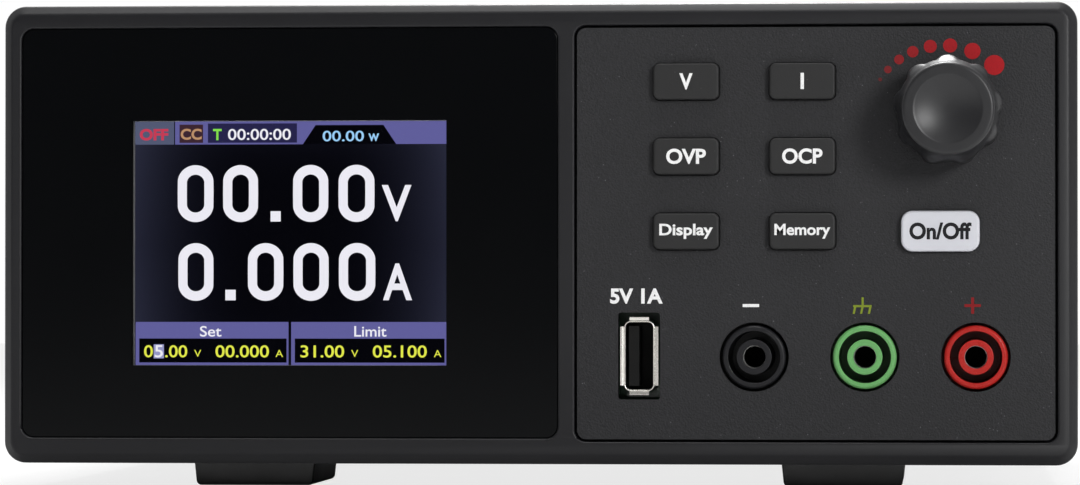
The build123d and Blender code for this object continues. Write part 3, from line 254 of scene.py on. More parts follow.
def drawn(name, colour, rough, stretch):
    paint = Paint(name)
    lines = paint.noise(metal["streak"], 2, stretch)
    clouds = paint.noise(metal["cloud"], 2)
    shade = paint.mix(lines * 0.6 + clouds * 0.4, toned(colour, metal["dark"]), colour)
    uneven = (lines - 0.5) * metal["streakGloss"] + (clouds - 0.5) * metal["cloudGloss"]
    paint.set(Base_Color=shade, Roughness=rough + uneven, Metallic=1.0)
    paint.set(Normal=paint.bump(lines, metal["depth"]))
    return paint.material


# Powder coat: small soft humps, packed close, with painted shade darkening the hollows between them
coat = {
    "hump": 0.55 * mm,
    "humpEdge": (0.25, 0.75),
    "depth": 0.03 * mm,
    "cloud": 14 * mm,
    "deep": 0.72,            # painted shade in the hollows, as a share of the colour
    "rough": 0.5,
    "uneven": 0.12,          # how far the clouds move the roughness
}


def powder(name, colour):
    paint = Paint(name)
    humps = paint.cells(coat["hump"], "SMOOTH_F1")
    clouds = paint.noise(coat["cloud"], 2)
    # painted shade: the colour darkens from the middle of each hump into the hollows; the clouds add tone
    # that differs at random
    share = humps.between(*coat["humpEdge"]) * 0.7 + clouds * 0.3
    paint.set(Base_Color=paint.mix(share, colour, toned(colour, coat["deep"])))
    paint.set(Roughness=(clouds - 0.5) * coat["uneven"] + coat["rough"])
    paint.set(Normal=paint.bump(1 - humps, coat["depth"]))
    return paint.material


# Circuit board: copper tracks under the mask, as runs of bricks cut short by cloudy gaps
circuit = {
    "bricks": 300,           # to a metre
    "aside": 0.013 * mm,     # keeps the joints between bricks off the faces of the board
    "pour": 14 * mm,         # size of the copper areas
    "pourEdge": (0.47, 0.53),
    "groove": 0.8,           # how much less copper shows in the joints
    "rough": 0.34,
    "depth": 0.01 * mm,
    "varnish": 0.4,
}


def board(name, mask, copper):
    paint = Paint(name)
    black, white = (0, 0, 0, 1), (1, 1, 1, 1)
    spot = paint.place(centre=(circuit["aside"], 0, 0))
    runs = paint.node("ShaderNodeTexBrick", {"offset": 0.5}, spot, black, black, white, circuit["bricks"])
    poured = paint.noise(circuit["pour"], 1).between(*circuit["pourEdge"])
    paint.set(Base_Color=paint.mix(poured * (1 - runs * circuit["groove"]), mask, copper))
    paint.set(Roughness=(paint.noise(2 * mm) - 0.5) * 0.1 + circuit["rough"])
    paint.set(Normal=paint.bump(runs, circuit["depth"]), Coat_Weight=circuit["varnish"])
    return paint.material


# Display window: polished black, and clear over the lit area of the screen
window = {
    "tint": (0.0016, 0.0018, 0.0022),
    "sheen": 0.09,
    "gloss": 0.12,
    "wipe": 22 * mm,         # size of the wiped patches
    "wipeGloss": 0.05,       # and how far they move the roughness
    "haze": 0.05,            # what stays of the black over the screen
    "edge": 0.12 * mm,       # soft line round the clear area
}


def windowGlass():
    paint = Paint("windowGloss")
    low, high = litArea()
    spot = paint.place(centre=tuple((low + high) / 2))
    halfW, halfH = (high - low)[0] / 2, (high - low)[2] / 2
    outside = abs(paint.axis(spot, 0)).between(halfW, halfW + window["edge"])
    above = abs(paint.axis(spot, 2)).between(halfH, halfH + window["edge"])
    cover = paint.node("ShaderNodeMath", {"operation": "MAXIMUM"}, outside, above)
    wipes = paint.noise(window["wipe"], 2)
    paint.set(Base_Color=(*window["tint"], 1), Roughness=wipes * window["wipeGloss"] + window["gloss"])
    paint.set(Alpha=cover * (1 - window["haze"]) + window["haze"], Specular_IOR_Level=window["sheen"])
    return paint.material


def litArea():
    # the glass floor of the screen module, inside its frame
    low, high = corners("lcd_module")
    frameWidth = np.array([picture["side"], 0, picture["edge"]])
    return low + frameWidth, high - frameWidth


def lit():
    # screen light: each mark gives off its own colour, with the faint columns of dots that make it
    paint = Paint("screenLight")
    spot = paint.place((1 / picture["dot"],) * 3)
    wave = paint.node("ShaderNodeTexWave", {"bands_direction": "X"}, spot, 1.0)
    shade = paint.tint(wave * picture["ripple"] + picture["level"])
    paint.set(Emission_Color=shade, Emission_Strength=1.0, Base_Color=(0, 0, 0, 1), Specular_IOR_Level=0.0)
    return paint.material


def printed(name):
    # ink in the colour of each mark, slightly thin in places, on a rough ground
    paint = Paint(name)
    worn = paint.noise(ink["wear"], 2)
    paint.set(Base_Color=paint.tint(worn.between(*ink["wearEdge"]) * 0.2 + 0.8))
    paint.set(Roughness=(worn - 0.5) * 0.1 + ink["rough"], Specular_IOR_Level=ink["sheen"])
    return paint.material


# Fuse: clear in the middle, with metal caps at both ends
fuseTube = {
    "cap": 5 * mm,
    "glass": (0.85, 0.9, 0.9),
    "metal": (0.7, 0.7, 0.68),
    "gloss": 0.12,           # roughness of the glass
    "capRough": 0.15,        # and what the caps add
    "clear": 0.3,            # how much of the glass shows
}


def glassTube():
    paint = Paint("fuseGlass")
    spot = paint.place(centre=tuple(middle("fuse")))
    low, high = corners("fuse")
    cap = abs(paint.axis(spot, 0)) > (high - low)[0] / 2 - fuseTube["cap"]
    paint.set(Base_Color=paint.mix(cap, fuseTube["glass"], fuseTube["metal"]), Metallic=cap)
    rough = paint.noise(2 * mm) * 0.08 + cap * fuseTube["capRough"] + fuseTube["gloss"]
    paint.set(Roughness=rough, Alpha=cap * (1 - fuseTube["clear"]) + fuseTube["clear"])
    return paint.material


# Contact tubes: bright metal at the mouth, and painted shade down inside, where the colour turns dark and
# stops being metal
contact = {
    "bright": (0.3, 0.3, 0.29),
    # colour of the painted shade down inside the tube
    "dark": (0.012, 0.012, 0.012),
    "from": 0.1 * mm,        # behind the mouth
    "to": 1.2 * mm,
    "wear": 0.4 * mm,
    "rough": 0.35,
    "deepRough": 0.4,        # what the dark part adds
}


def contactTubePaintedShade():
    paint = Paint("contactTubePaintedShade")
    mouth = corners("terminal_contacts")[0][1]
    deep = paint.axis(paint.place(), 1).between(mouth + contact["from"], mouth + contact["to"])
    worn = paint.noise(contact["wear"], 2)
    # painted shade: behind the mouth the colour turns near black and loses its metal, standing in for the
    # shade down the tube
    paint.set(Base_Color=paint.mix(deep, contact["bright"], contact["dark"]), Metallic=1 - deep)
    rough = deep * contact["deepRough"] + (worn - 0.5) * 0.2 + contact["rough"]
    paint.set(Roughness=rough, Specular_IOR_Level=0.1)
    return paint.material


# Windings: enamelled wire wound round a ring, or tape in layers, as fine dark lines
wound = {
    "waver": 1.5,
    "gapEdge": (0.2, 0.5),
    "rough": 0.3,
    "depth": 0.05 * mm,
}


def windings(name, colour, gap, pitch):
    paint = Paint(name)
    rings = {"wave_type": "RINGS", "rings_direction": "Z"}
    lines = paint.node("ShaderNodeTexWave", rings, paint.place(), 1 / pitch, wound["waver"])
    paint.set(Base_Color=paint.mix(lines.between(*wound["gapEdge"]), gap, colour))
    paint.set(Roughness=paint.noise(2 * mm) * 0.1 + wound["rough"])
    paint.set(Normal=paint.bump(lines, wound["depth"]))
    return paint.material


# Screen picture, laid out in the dots of the screen itself
picture = {
    "columns": 320,
    "rows": 240,
    "side": 5.2 * mm,        # frame of the module beside the lit area
    "edge": 2.5 * mm,        # and above and below it
    "glass": 0.38 * mm,      # from the front of the module back to the picture
    "lift": 0.03 * mm,       # one layer of marks over the next
    "thick": 0.008 * mm,
    "ripple": 0.05,          # how much the columns of dots show
    "level": 0.97,
    "corner": 0.25,          # how much of the backlight's glow depends on the height
    "grid": (81, 61),        # points of the backlight, across and up
    "stroke": 9.4,           # of the large digits
    "bar": (0.13, 0.125, 0.36),
    "slate": (0.095, 0.11, 0.19),
    "maroon": (0.05, 0.022, 0.035),
    "navy": (0.022, 0.02, 0.075),
    "black": (0.0015, 0.0015, 0.003),
    "glow": (0.022, 0.024, 0.045),
    "white": (0.93, 0.92, 1.0),
    "red": (0.62, 0.05, 0.1),
    "tan": (0.55, 0.3, 0.16),
    "green": (0.25, 0.8, 0.08),
    "blue": (0.35, 0.66, 1.0),
    "yellow": (0.83, 0.87, 0.08),
    "cursor": (0.33, 0.34, 0.62),
}
moduleLow, moduleHigh = corners("lcd_module")
picture["dot"] = (moduleHigh[0] - moduleLow[0] - 2 * picture["side"]) / picture["columns"]

# Printed marks: ink in the colour of each mark
ink = {
    "lift": 0.012 * mm,      # ink on the surface below it
    "wear": 0.35 * mm,
    "wearEdge": (0.2, 0.55),
    "rough": 0.5,
    "sheen": 0.12,
    "pale": (0.72, 0.72, 0.72),
    "dark": (0.012, 0.012, 0.014),
    "white": (0.74, 0.74, 0.74),
    "olive": (0.17, 0.22, 0.02),
    "deepRed": (0.2, 0.008, 0.01),
    "dotRed": (0.33, 0.008, 0.012),
}


# Meshes

def putMesh(name, points, faces, material, body, tints=None, thick=0.0):
    # a new piece from points in metres and lists of corner numbers; thick turns a flat one into a solid
    mesh = bpy.data.meshes.new(name)
    mesh.from_pydata(np.asarray(points, float).tolist(), [], faces)
    mesh.validate()
    if tints is not None:
        colours = mesh.attributes.new("tint", "FLOAT_COLOR", "POINT")
        colours.data.foreach_set("color", np.column_stack([tints, np.ones(len(tints))]).ravel())
    mesh.materials.append(material)
    piece = bpy.data.objects.new(name, mesh)
    bpy.context.scene.collection.objects.link(piece)
    if thick:
        layer = piece.modifiers.new("thickness", "SOLIDIFY")
        layer.thickness = thick
        layer.offset = 1.0
    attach(piece, body)
    return piece


def gridFaces(rows, columns, wrap=False):
    # four-sided faces between neighbours of a grid of points; wrap joins the last column to the first
    last = columns if wrap else columns - 1
    row, column = np.meshgrid(np.arange(rows - 1), np.arange(last), indexing="ij")
    here, beside = row * columns + column, row * columns + (column + 1) % columns
    return np.stack([here, beside, beside + columns, here + columns], -1).reshape(-1, 4).tolist()


def joined(shapes):
    # several shapes, each points and faces, as one
    faces, count = [], 0
    for points, shapeFaces in shapes:
        faces += [[corner + count for corner in face] for face in shapeFaces]
        count += len(points)
    return np.vstack([points for points, shapeFaces in shapes]), faces


def letters(words, bold):
    # the built-in letters as a flat mesh that fills the square from 0 to 1
    curve = bpy.data.curves.new("letters", "FONT")
    curve.body = words
    curve.offset = bold
    curve.resolution_u = 5
    holder = bpy.data.objects.new("letters", curve)
    bpy.context.scene.collection.objects.link(holder)
    bpy.context.view_layer.update()
    mesh = bpy.data.meshes.new_from_object(holder.evaluated_get(bpy.context.evaluated_depsgraph_get()))
    points = np.zeros(len(mesh.vertices) * 3)
    mesh.vertices.foreach_get("co", points)
    points = points.reshape(-1, 3)[:, :2]
    faces = [list(face.vertices) for face in mesh.polygons]
    low, high = points.min(0), points.max(0)
    bpy.data.objects.remove(holder)
    bpy.data.curves.remove(curve)
    bpy.data.meshes.remove(mesh)
    return (points - low) / (high - low), faces


def oblong(x0, x1, y0, y1):
    return np.array([(x0, y0), (x1, y0), (x1, y1), (x0, y1)], float), [[0, 1, 2, 3]]


def disc(x, z, radius, around=36):
    turn = np.linspace(0, 2 * np.pi, around, endpoint=False)
    return np.column_stack([x + radius * np.cos(turn), z + radius * np.sin(turn)]), [list(range(around))]


def nought(x0, x1, y0, y1, stroke, around=48, roundness=0.92):
    # a zero: an ellipse cut across its middle and its halves pushed apart, outside and inside
    angle = np.linspace(0, 2 * np.pi, around, endpoint=False)
    upper = np.sign(np.round(np.sin(angle), 6))
    rings = []
    for inset in (0, stroke):
        halfW, halfH = (x1 - x0) / 2 - inset, (y1 - y0) / 2 - inset
        cap = halfW * roundness
        rings.append(np.column_stack([
            (x0 + x1) / 2 + halfW * np.cos(angle),
            (y0 + y1) / 2 + cap * np.sin(angle) + (halfH - cap) * upper,
        ]))
    return np.vstack(rings), gridFaces(2, around, wrap=True)


class Sheet:
    # flat marks on one surface that faces the front, each a layer nearer than the last
    def __init__(self, origin, across, up, lift):
        self.origin = np.array(origin)
        self.across = across     # metres to one unit, sideways
        self.up = up             # metres to one unit, upwards
        self.lift = lift
        self.shapes = []
        self.tints = []

    def mark(self, shape, colour, layer=0):
        flat, faces = shape
        flat = np.asarray(flat, float)
        nearer = np.full(len(flat), -self.lift * layer)
        spots = np.column_stack([flat[:, 0] * self.across, nearer, flat[:, 1] * self.up])
        self.shapes.append((spots + self.origin, faces))
        self.tints.append(np.broadcast_to(np.asarray(colour, float), (len(flat), 3)))

    def words(self, text, box, colour, bold, layer=0):
        # letters stretched to fill a box of left, right, bottom and top
        flat, faces = letters(text, bold)
        x0, x1, y0, y1 = box
        spots = np.column_stack([x0 + flat[:, 0] * (x1 - x0), y0 + flat[:, 1] * (y1 - y0)])
        self.mark((spots, faces), colour, layer)

    def put(self, name, material, body, thick=0.02 * mm):
        points, faces = joined(self.shapes)
        putMesh(name, points, faces, material, body, np.vstack(self.tints), thick)


# Finishes, one for each material slot of the record
paints = {
    "bezel_plastic": moulded("bezelPlastic", (0.0052, 0.0052, 0.0066), 0.44, 0.22 * mm, 0.006 * mm,
                             Specular_IOR_Level=0.3),
    "panel_plastic": sanded("panelPlastic", (0.0125, 0.0125, 0.014)),
    "key_dark": moulded("keyPlastic", (0.0145, 0.0145, 0.0148), 0.5, 0.25 * mm, 0.02 * mm, 0.1, 0.15,
                        Specular_IOR_Level=0.25),
    "key_pale": moulded("paleKeyPlastic", (0.53, 0.535, 0.575), 0.42, 0.2 * mm, 0.006 * mm, 0.03),
    "knob_plastic": moulded("knobPlastic", (0.0085, 0.0085, 0.0098), 0.38, 0.2 * mm, 0.004 * mm,
                            Specular_IOR_Level=0.4),
    "switch_black": moulded("switchPlastic", (0.012, 0.012, 0.013), 0.45),
    "white_plastic": moulded("whitePlastic", (0.72, 0.72, 0.68), 0.45),
    # darker than the other black plastics: partly the tongue's own black, partly painted shade for the
    # inside of the outlet
    "usb_plastic": moulded("usbPlastic", (0.003, 0.003, 0.003), 0.5, Specular_IOR_Level=0.15),
    "socket_black": socketPlastic("blackSocket", (0.0075, 0.0075, 0.009), 0.3),
    "socket_green": socketPlastic("greenSocket", (0.115, 0.32, 0.105), 0.3),
    "socket_red": socketPlastic("redSocket", (0.36, 0.012, 0.009), 0.28),
    "foot_plastic": moulded("footPlastic", (0.012, 0.012, 0.013), 0.22, 0.2 * mm, 0.003 * mm),
    "foot_rubber": moulded("footRubber", (0.015, 0.015, 0.015), 0.75, 0.3 * mm, 0.02 * mm, 0.2),
    "fan_plastic": moulded("fanPlastic", (0.014, 0.014, 0.015), 0.4),
    "inlet_plastic": moulded("inletPlastic", (0.011, 0.011, 0.012), 0.42),
    "rocker_plastic": moulded("rockerPlastic", (0.013, 0.013, 0.014), 0.28, 0.2 * mm, 0.003 * mm),
    "package_plastic": moulded("packagePlastic", (0.014, 0.014, 0.015), 0.55, 0.15 * mm, 0.01 * mm),
    "ferrite": moulded("ferrite", (0.03, 0.029, 0.028), 0.6, 0.25 * mm, 0.03 * mm, 0.2),
    "screen_frame": drawn("screenFrame", (0.42, 0.42, 0.43), 0.4, (12, 1, 12)),
    "screw_steel": drawn("zincSteel", (0.62, 0.62, 0.63), 0.32, (4, 4, 4)),
    "black_screw": drawn("blackSteel", (0.03, 0.03, 0.032), 0.35, (4, 4, 4)),
    "zinc_metal": drawn("castZinc", (0.55, 0.55, 0.56), 0.42, (3, 3, 3)),
    "usb_metal": drawn("usbMetal", (0.78, 0.76, 0.71), 0.26, (12, 12, 1)),
    "contact_metal": drawn("contactMetal", (0.78, 0.77, 0.74), 0.22, (12, 1, 12)),
    "brass_metal": drawn("brassMetal", (0.72, 0.55, 0.28), 0.3, (12, 1, 12)),
    "plated_steel": drawn("platedSteel", (0.6, 0.61, 0.62), 0.36, (1, 14, 14)),
    "sink_aluminium": drawn("sinkAluminium", (0.7, 0.71, 0.72), 0.42, (14, 14, 1)),
    "cover_paint": powder("coverPaint", (0.155, 0.16, 0.168)),
    "rear_paint": powder("rearPaint", (0.02, 0.02, 0.021)),
    "board_green": board("greenBoard", (0.008, 0.052, 0.02), (0.016, 0.1, 0.036)),
    "winding_tape": windings("windingTape", (0.62, 0.5, 0.06), (0.35, 0.27, 0.03), 2.2 * mm),
    "choke_winding": windings("chokeWinding", (0.48, 0.17, 0.06), (0.1, 0.03, 0.012), 0.9 * mm),
    "can_sleeve": moulded("canSleeve", (0.016, 0.018, 0.03), 0.3, 0.3 * mm, 0.004 * mm),
    "can_sleeve_small": moulded("smallCanSleeve", (0.01, 0.05, 0.032), 0.3, 0.3 * mm, 0.004 * mm),
    "window_gloss": windowGlass(),
    "fuse_glass": glassTube(),
}
for node, slot in slotOf.items():
    solid = frame["nodes"][node]
    solid.data.materials.clear()
    solid.data.materials.append(paints[slot])
frame["nodes"]["terminal_contacts"].data.materials[0] = contactTubePaintedShade()
print("finishes", len(paints))


# Rounded copies: a solid's own mesh with its sharp edges rounded over
rounding = {
    "steps": 2,
    "angle": 32,             # degrees, from which an edge counts as sharp
    "weld": 0.001 * mm,
    "flat": 0.4,             # degrees, below which faces are merged
}
roundings = {
    "front_bezel": 0.4 * mm,
    "display_window": 0.15 * mm,
    "front_foot_bases": 0.35 * mm,
    "rear_feet": 0.3 * mm,
    "left_tilt_leg": 0.25 * mm,
    "right_tilt_leg": 0.25 * mm,
    "terminal_negative": 0.12 * mm,
    "terminal_ground": 0.12 * mm,
    "terminal_positive": 0.12 * mm,
    "encoder_nut": 0.15 * mm,
    "rocker_housing": 0.2 * mm,
    "mains_rocker": 0.3 * mm,
    "inlet_body": 0.2 * mm,
    "fuse_drawer": 0.2 * mm,
    "fan_frame": 0.25 * mm,
    "fan_rotor": 0.2 * mm,
}


def rounded(node, width):
    sharp, flat = math.radians(rounding["angle"]), math.radians(rounding["flat"])
    shape = bmesh.new()
    shape.from_mesh(frame["nodes"][node].data)
    bmesh.ops.remove_doubles(shape, verts=shape.verts, dist=rounding["weld"])
    bmesh.ops.dissolve_limit(shape, angle_limit=flat, verts=shape.verts, edges=shape.edges)
    mesh = bpy.data.meshes.new(node + "_rounded")
    shape.to_mesh(mesh)
    shape.free()
    mesh.shade_smooth()
    mesh.set_sharp_from_angle(angle=sharp)
    mesh.materials.append(paints[slotOf[node]])
    piece = bpy.data.objects.new(node + "_rounded", mesh)
    bpy.context.scene.collection.objects.link(piece)
    bevel = piece.modifiers.new("edges", "BEVEL")
    bevel.width = width
    bevel.segments = rounding["steps"]
    bevel.limit_method = "ANGLE"
    bevel.angle_limit = sharp
    bevel.harden_normals = True
    bevel.use_clamp_overlap = False
    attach(piece, bodyOf[node])
    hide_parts(node)


for node, width in roundings.items():
    rounded(node, width)
print("rounded copies", len(roundings))


# Dial knob
knob = {
    "lobes": 9,
    "lobeAt": 7.9 * mm,      # middle of a lobe's circle from the axis
    "lobeR": 2.3 * mm,
    "core": 9.3 * mm,        # bottom of the hollows
    "blend": 0.16 * mm,      # rounding where lobe meets hollow
    "crest": 0.28 * mm,      # rounding where the lobes meet the shoulder
    "face": 8.5 * mm,
    "plain": 0.9,            # share of the face that the lobes don't reach
    "rim": 0.7 * mm,
    "rimTurn": (-80, -6),    # degrees of the rim's rounding
    "dish": 6.3 * mm,
    "dishDeep": 1.25 * mm,
    "dishEdge": 0.12 * mm,   # rounding from the dish to the face
    "wide": 10.4 * mm,
    "skirt": 9.0 * mm,       # upright part, from the back
    "skirtStart": 0.4 * mm,
    "bend": 2.5 * mm,
    "lean": 0.4 * mm,
    "reach": 4.0 * mm,
    "hem": 0.35 * mm,        # rounding at the back of the skirt
    "hemBow": (0.06 * mm, 0.08 * mm),  # its middle ring, inward and forward
    "cavity": 6.3 * mm,
    "cavityDeep": 3.6 * mm,
    "bore": 3.04 * mm,
    "boreEnd": 3.95 * mm,    # from the front
    "around": 288,
    "rings": {"dish": 18, "face": 5, "rim": 7, "shoulder": 20, "skirt": 16, "inside": 4},
}


def arc(middleR, middleT, radius, start, end, steps):
    # points of a circle as distance from the axis and depth behind the face; degrees from outward to deeper
    turn = np.radians(np.linspace(start, end, steps))
    return np.column_stack([middleR + radius * np.cos(turn), middleT + radius * np.sin(turn)])


def run(first, last, steps):
    # points on a straight line
    return first + (np.array(last) - first) * np.linspace(0, 1, steps)[:, None]


def carried(first, second, third, fourth, steps):
    # cubic curve that leaves the first point towards the second and meets the fourth from the third
    t = np.linspace(0, 1, steps)[:, None]
    first, second, third, fourth = (np.array(p) for p in (first, second, third, fourth))
    start = (1 - t) ** 3 * first + 3 * t * (1 - t) ** 2 * second
    return start + 3 * t ** 2 * (1 - t) * third + t ** 3 * fourth


def knobOuter(deep):
    # profile from the middle of the dish, over face, rim and shoulder, to the back of the skirt
    dish, sunk, face, rim, wide = (knob[key] for key in ("dish", "dishDeep", "face", "rim", "wide"))
    sphere = (dish ** 2 + sunk ** 2) / (2 * sunk)
    half = math.degrees(math.asin(dish / sphere))
    neck = deep - knob["skirt"]
    rings = knob["rings"]
    return np.vstack([
        arc(0, sunk - sphere, sphere, 90, 90 - half, rings["dish"]),
        run((dish + knob["dishEdge"], 0.0), (face - rim, 0.0), rings["face"]),
        arc(face - rim, rim, rim, *knob["rimTurn"], rings["rim"]),
        carried((face, rim), (face + knob["lean"], knob["reach"]),
                (wide, neck - knob["bend"]), (wide, neck), rings["shoulder"]),
        run((wide, neck + knob["skirtStart"]), (wide, deep - knob["hem"]), rings["skirt"]),
    ])


def knobInner(deep):
    # profile from the back of the skirt, inside, to the end of the bore
    cavity = deep - knob["cavityDeep"]
    rings = knob["rings"]["inside"]
    return np.vstack([
        run((knob["cavity"], deep), (knob["cavity"], cavity), rings),
        run((knob["bore"], cavity), (knob["bore"], knob["boreEnd"]), rings),
        [(0.0, knob["boreEnd"])],
    ])


def lobedOutline(angle):
    # distance of the lobes' circles from the axis, eased into the core between them
    pitch = 2 * np.pi / knob["lobes"]
    off = (angle - np.pi / 2 + pitch / 2) % pitch - pitch / 2
    under = np.maximum(knob["lobeR"] ** 2 - (knob["lobeAt"] * np.sin(off)) ** 2, 0)
    lobe = np.where(under > 0, knob["lobeAt"] * np.cos(off) + np.sqrt(under), 0)
    return knob["blend"] * np.logaddexp(lobe / knob["blend"], knob["core"] / knob["blend"])


def knobPiece():
    # the outside is the smaller of the profile and the lobed outline, eased together where they cross
    low, high = corners("encoder_knob")
    deep = (high - low)[1]
    axis = middle("encoder_nut")
    outer, inner = knobOuter(deep), knobInner(deep)
    angle = np.linspace(0, 2 * np.pi, knob["around"], endpoint=False)
    crest = knob["crest"]
    radius = -crest * np.logaddexp(-outer[:, :1] / crest, -lobedOutline(angle)[None, :] / crest)
    radius = np.where(outer[:, :1] < knob["face"] * knob["plain"], outer[:, :1], radius)
    radius[0] = 0
    inward, forward = knob["hemBow"]
    lip = np.vstack([radius[-1] - inward, radius[-1] - knob["hem"]])
    radius = np.vstack([radius, lip, np.repeat(inner[:, :1], len(angle), 1)])
    depth = np.concatenate([outer[:, 1], [deep - forward, deep], inner[:, 1]])
    points = np.stack([
        axis[0] + radius * np.cos(angle),
        low[1] + np.repeat(depth[:, None], len(angle), 1),
        axis[2] + radius * np.sin(angle),
    ], -1).reshape(-1, 3)
    sealed("knob", points, gridFaces(len(depth), len(angle), wrap=True), "encoder_knob")


def sealed(name, points, faces, node, weld=0.0005 * mm, crease=40):
    # a closed shell from a grid whose poles are many points in one place; it stands for the node
    piece = putMesh(name, points, faces, paints[slotOf[node]], bodyOf[node])
    shape = bmesh.new()
    shape.from_mesh(piece.data)
    bmesh.ops.remove_doubles(shape, verts=shape.verts, dist=weld)
    bmesh.ops.recalc_face_normals(shape, faces=shape.faces)
    shape.to_mesh(piece.data)
    shape.free()
    piece.data.shade_smooth()
    piece.data.set_sharp_from_angle(angle=math.radians(crease))
    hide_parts(node)


knobPiece()
print("knob")


# Cross-recess pan screws
screw = {
    "rise": 0.62,            # height of the rim, as a share of the head's
    "fall": 2.2,             # power of the distance from the axis with which the dome falls
    "crossRings": (0.7, 15), # end of the rings of points under the recess, and how many
    "rimRings": (0.74, 8),   # start of the ones from there to the rim, and how many
    "armLong": 0.62,         # recess, as shares of the head's radius
    "armWide": 0.13,
    "armWall": 0.05,
    "recess": 0.5,           # share of the head's height
    "fade": 0.35,            # how much shallower it is at the rim
    "turns": (91, 57, 33),   # radians to a metre of the screw's place, so that no two heads stand alike
    "around": 64,
    "shankR": 1.5 * mm,
    "coverHead": 2.8 * mm,   # radius of the cover screws' heads
    "coverShank": 5 * mm,
    "fanHead": 3.6 * mm,     # radius, and height of the heads
    "fanRise": 1.8 * mm,
    "footHead": 2.8 * mm,    # the same for the feet and the rear edge
    "footRise": 1.6 * mm,
}


def panScrew(at, outward, headR, headH, length):
    # a dome that falls with a power of the distance from the axis, less a cross, deepest at the middle
    angle = np.linspace(0, 2 * np.pi, screw["around"], endpoint=False)
    (crossEnd, crossCount), (rimStart, rimCount) = screw["crossRings"], screw["rimRings"]
    share = np.concatenate([np.linspace(0, crossEnd, crossCount), np.linspace(rimStart, 1, rimCount)])
    r = share[:, None] * headR
    height = headH * (1 - (1 - screw["rise"]) * share[:, None] ** screw["fall"]) * np.ones_like(angle)
    x, y = np.abs(r * np.cos(angle)), np.abs(r * np.sin(angle))
    along, aside = np.maximum(x, y), np.minimum(x, y)
    wall = screw["armWall"] * headR
    inside = np.clip((screw["armWide"] * headR - aside) / wall + 0.5, 0, 1)
    inside *= np.clip((screw["armLong"] * headR - along) / wall + 0.5, 0, 1)
    height -= inside * headH * screw["recess"] * (1 - screw["fade"] * along / headR)
    side = [(headR, 0.0), (screw["shankR"], 0.0), (screw["shankR"], -length), (0.0, -length)]
    r = np.vstack([r * np.ones_like(angle), [np.full_like(angle, a) for a, b in side]])
    height = np.vstack([height, [np.full_like(angle, b) for a, b in side]])
    outward = np.array(outward, float)
    across = np.array((0, 0, 1.0)) if abs(outward[2]) < 0.5 else np.array((1.0, 0, 0))
    beside = np.cross(outward, across)
    turned = angle + np.dot(at, screw["turns"])
    spots = r[..., None] * (np.cos(turned)[:, None] * across + np.sin(turned)[:, None] * beside)
    spots = spots + height[..., None] * outward + np.array(at)
    return spots.reshape(-1, 3), gridFaces(len(height), screw["around"], wrap=True)


def screwSet(name, node, places, headR, headH, length):
    # places are pairs of where a head sits and which way it faces
    points, faces = joined([panScrew(at, outward, headR, headH, length) for at, outward in places])
    sealed(name, points, faces, node)


def coverScrews():
    low, high = corners("cover_screws")
    wall, head = corners("top_cover")[1][0], screw["coverHead"]
    rows = (low[1] + head, (low[1] + high[1]) / 2, high[1] - head)
    places = [((side * wall, y, (low[2] + high[2]) / 2), (side, 0, 0)) for side in (-1, 1) for y in rows]
    screwSet("coverScrews", "cover_screws", places, head, high[0] - wall, screw["coverShank"])


def fanScrews():
    low, high = corners("fan_screws")
    back, head = high[1] - screw["fanRise"], screw["fanHead"]
    rows = (low[2] + head, high[2] - head)
    places = [((x, back, z), (0, 1, 0)) for x in (low[0] + head, high[0] - head) for z in rows]
    screwSet("fanScrews", "fan_screws", places, head, screw["fanRise"], back - low[1])


def lowerScrews(name, node, twoRows):
    # screws driven in from below, in one row or two
    low, high = corners(node)
    seat, head = low[2] + screw["footRise"], screw["footHead"]
    rows = (low[1] + head, high[1] - head) if twoRows else ((low[1] + high[1]) / 2,)
    places = [((x, y, seat), (0, 0, -1)) for x in (low[0] + head, high[0] - head) for y in rows]
    screwSet(name, node, places, head, screw["footRise"], high[2] - seat)


coverScrews()
fanScrews()
lowerScrews("rearScrews", "rear_screws", False)
lowerScrews("footScrews", "foot_screws", True)
print("screws")


# Outlet mouth: rolled edge of the shell, and a strip folded outwards on each side
outlet = {
    "width": 5.12 * mm,
    "height": 12.5 * mm,
    "corner": 1.0 * mm,
    "wall": 0.3 * mm,
    "lip": 0.66 * mm,        # how far a strip reaches past the wall
    "curl": 0.55,            # inner radius of the fold, as a share of the lip
    "longStrip": 10.9 * mm,
    "shortStrip": 3.6 * mm,
    "set": 0.05 * mm,        # front of the rolled edge behind the box
    "cornerSteps": 9,
    "bendSteps": 7,
    "stripSteps": 5,
}


def rolledEdge(spot, front, back):
    # a closed section carried round the mouth
    corner, wall = outlet["corner"], outlet["wall"]
    turn = np.radians(np.linspace(0, 90, outlet["cornerSteps"]))
    offX, offZ = outlet["width"] / 2 - corner, outlet["height"] / 2 - corner
    middles, normals = [], []
    for quarter, (sx, sz) in enumerate(((1, 1), (-1, 1), (-1, -1), (1, -1))):
        angles = turn + quarter * np.pi / 2
        normals.append(np.column_stack([np.cos(angles), np.sin(angles)]))
        middles.append(np.tile((sx * offX, sz * offZ), (len(angles), 1)))
    normals, middles = np.vstack(normals), np.vstack(middles)
    bend = np.radians(np.linspace(180, 0, outlet["bendSteps"]))
    edge = np.column_stack([wall / 2 + wall / 2 * np.cos(bend), wall / 2 - wall / 2 * np.sin(bend)])
    section = np.vstack([edge, [(wall, back - front), (0, back - front)]])
    reach = corner + section[:, 0]
    flat = middles[None] + normals[None] * reach[:, None, None]
    depth = front + np.repeat(section[:, 1:], len(normals), 1)
    points = np.stack([spot[0] + flat[..., 0], depth, spot[2] + flat[..., 1]], -1).reshape(-1, 3)
    faces = np.array(gridFaces(len(section) + 1, len(normals), wrap=True)) % len(points)
    return points, faces.tolist()


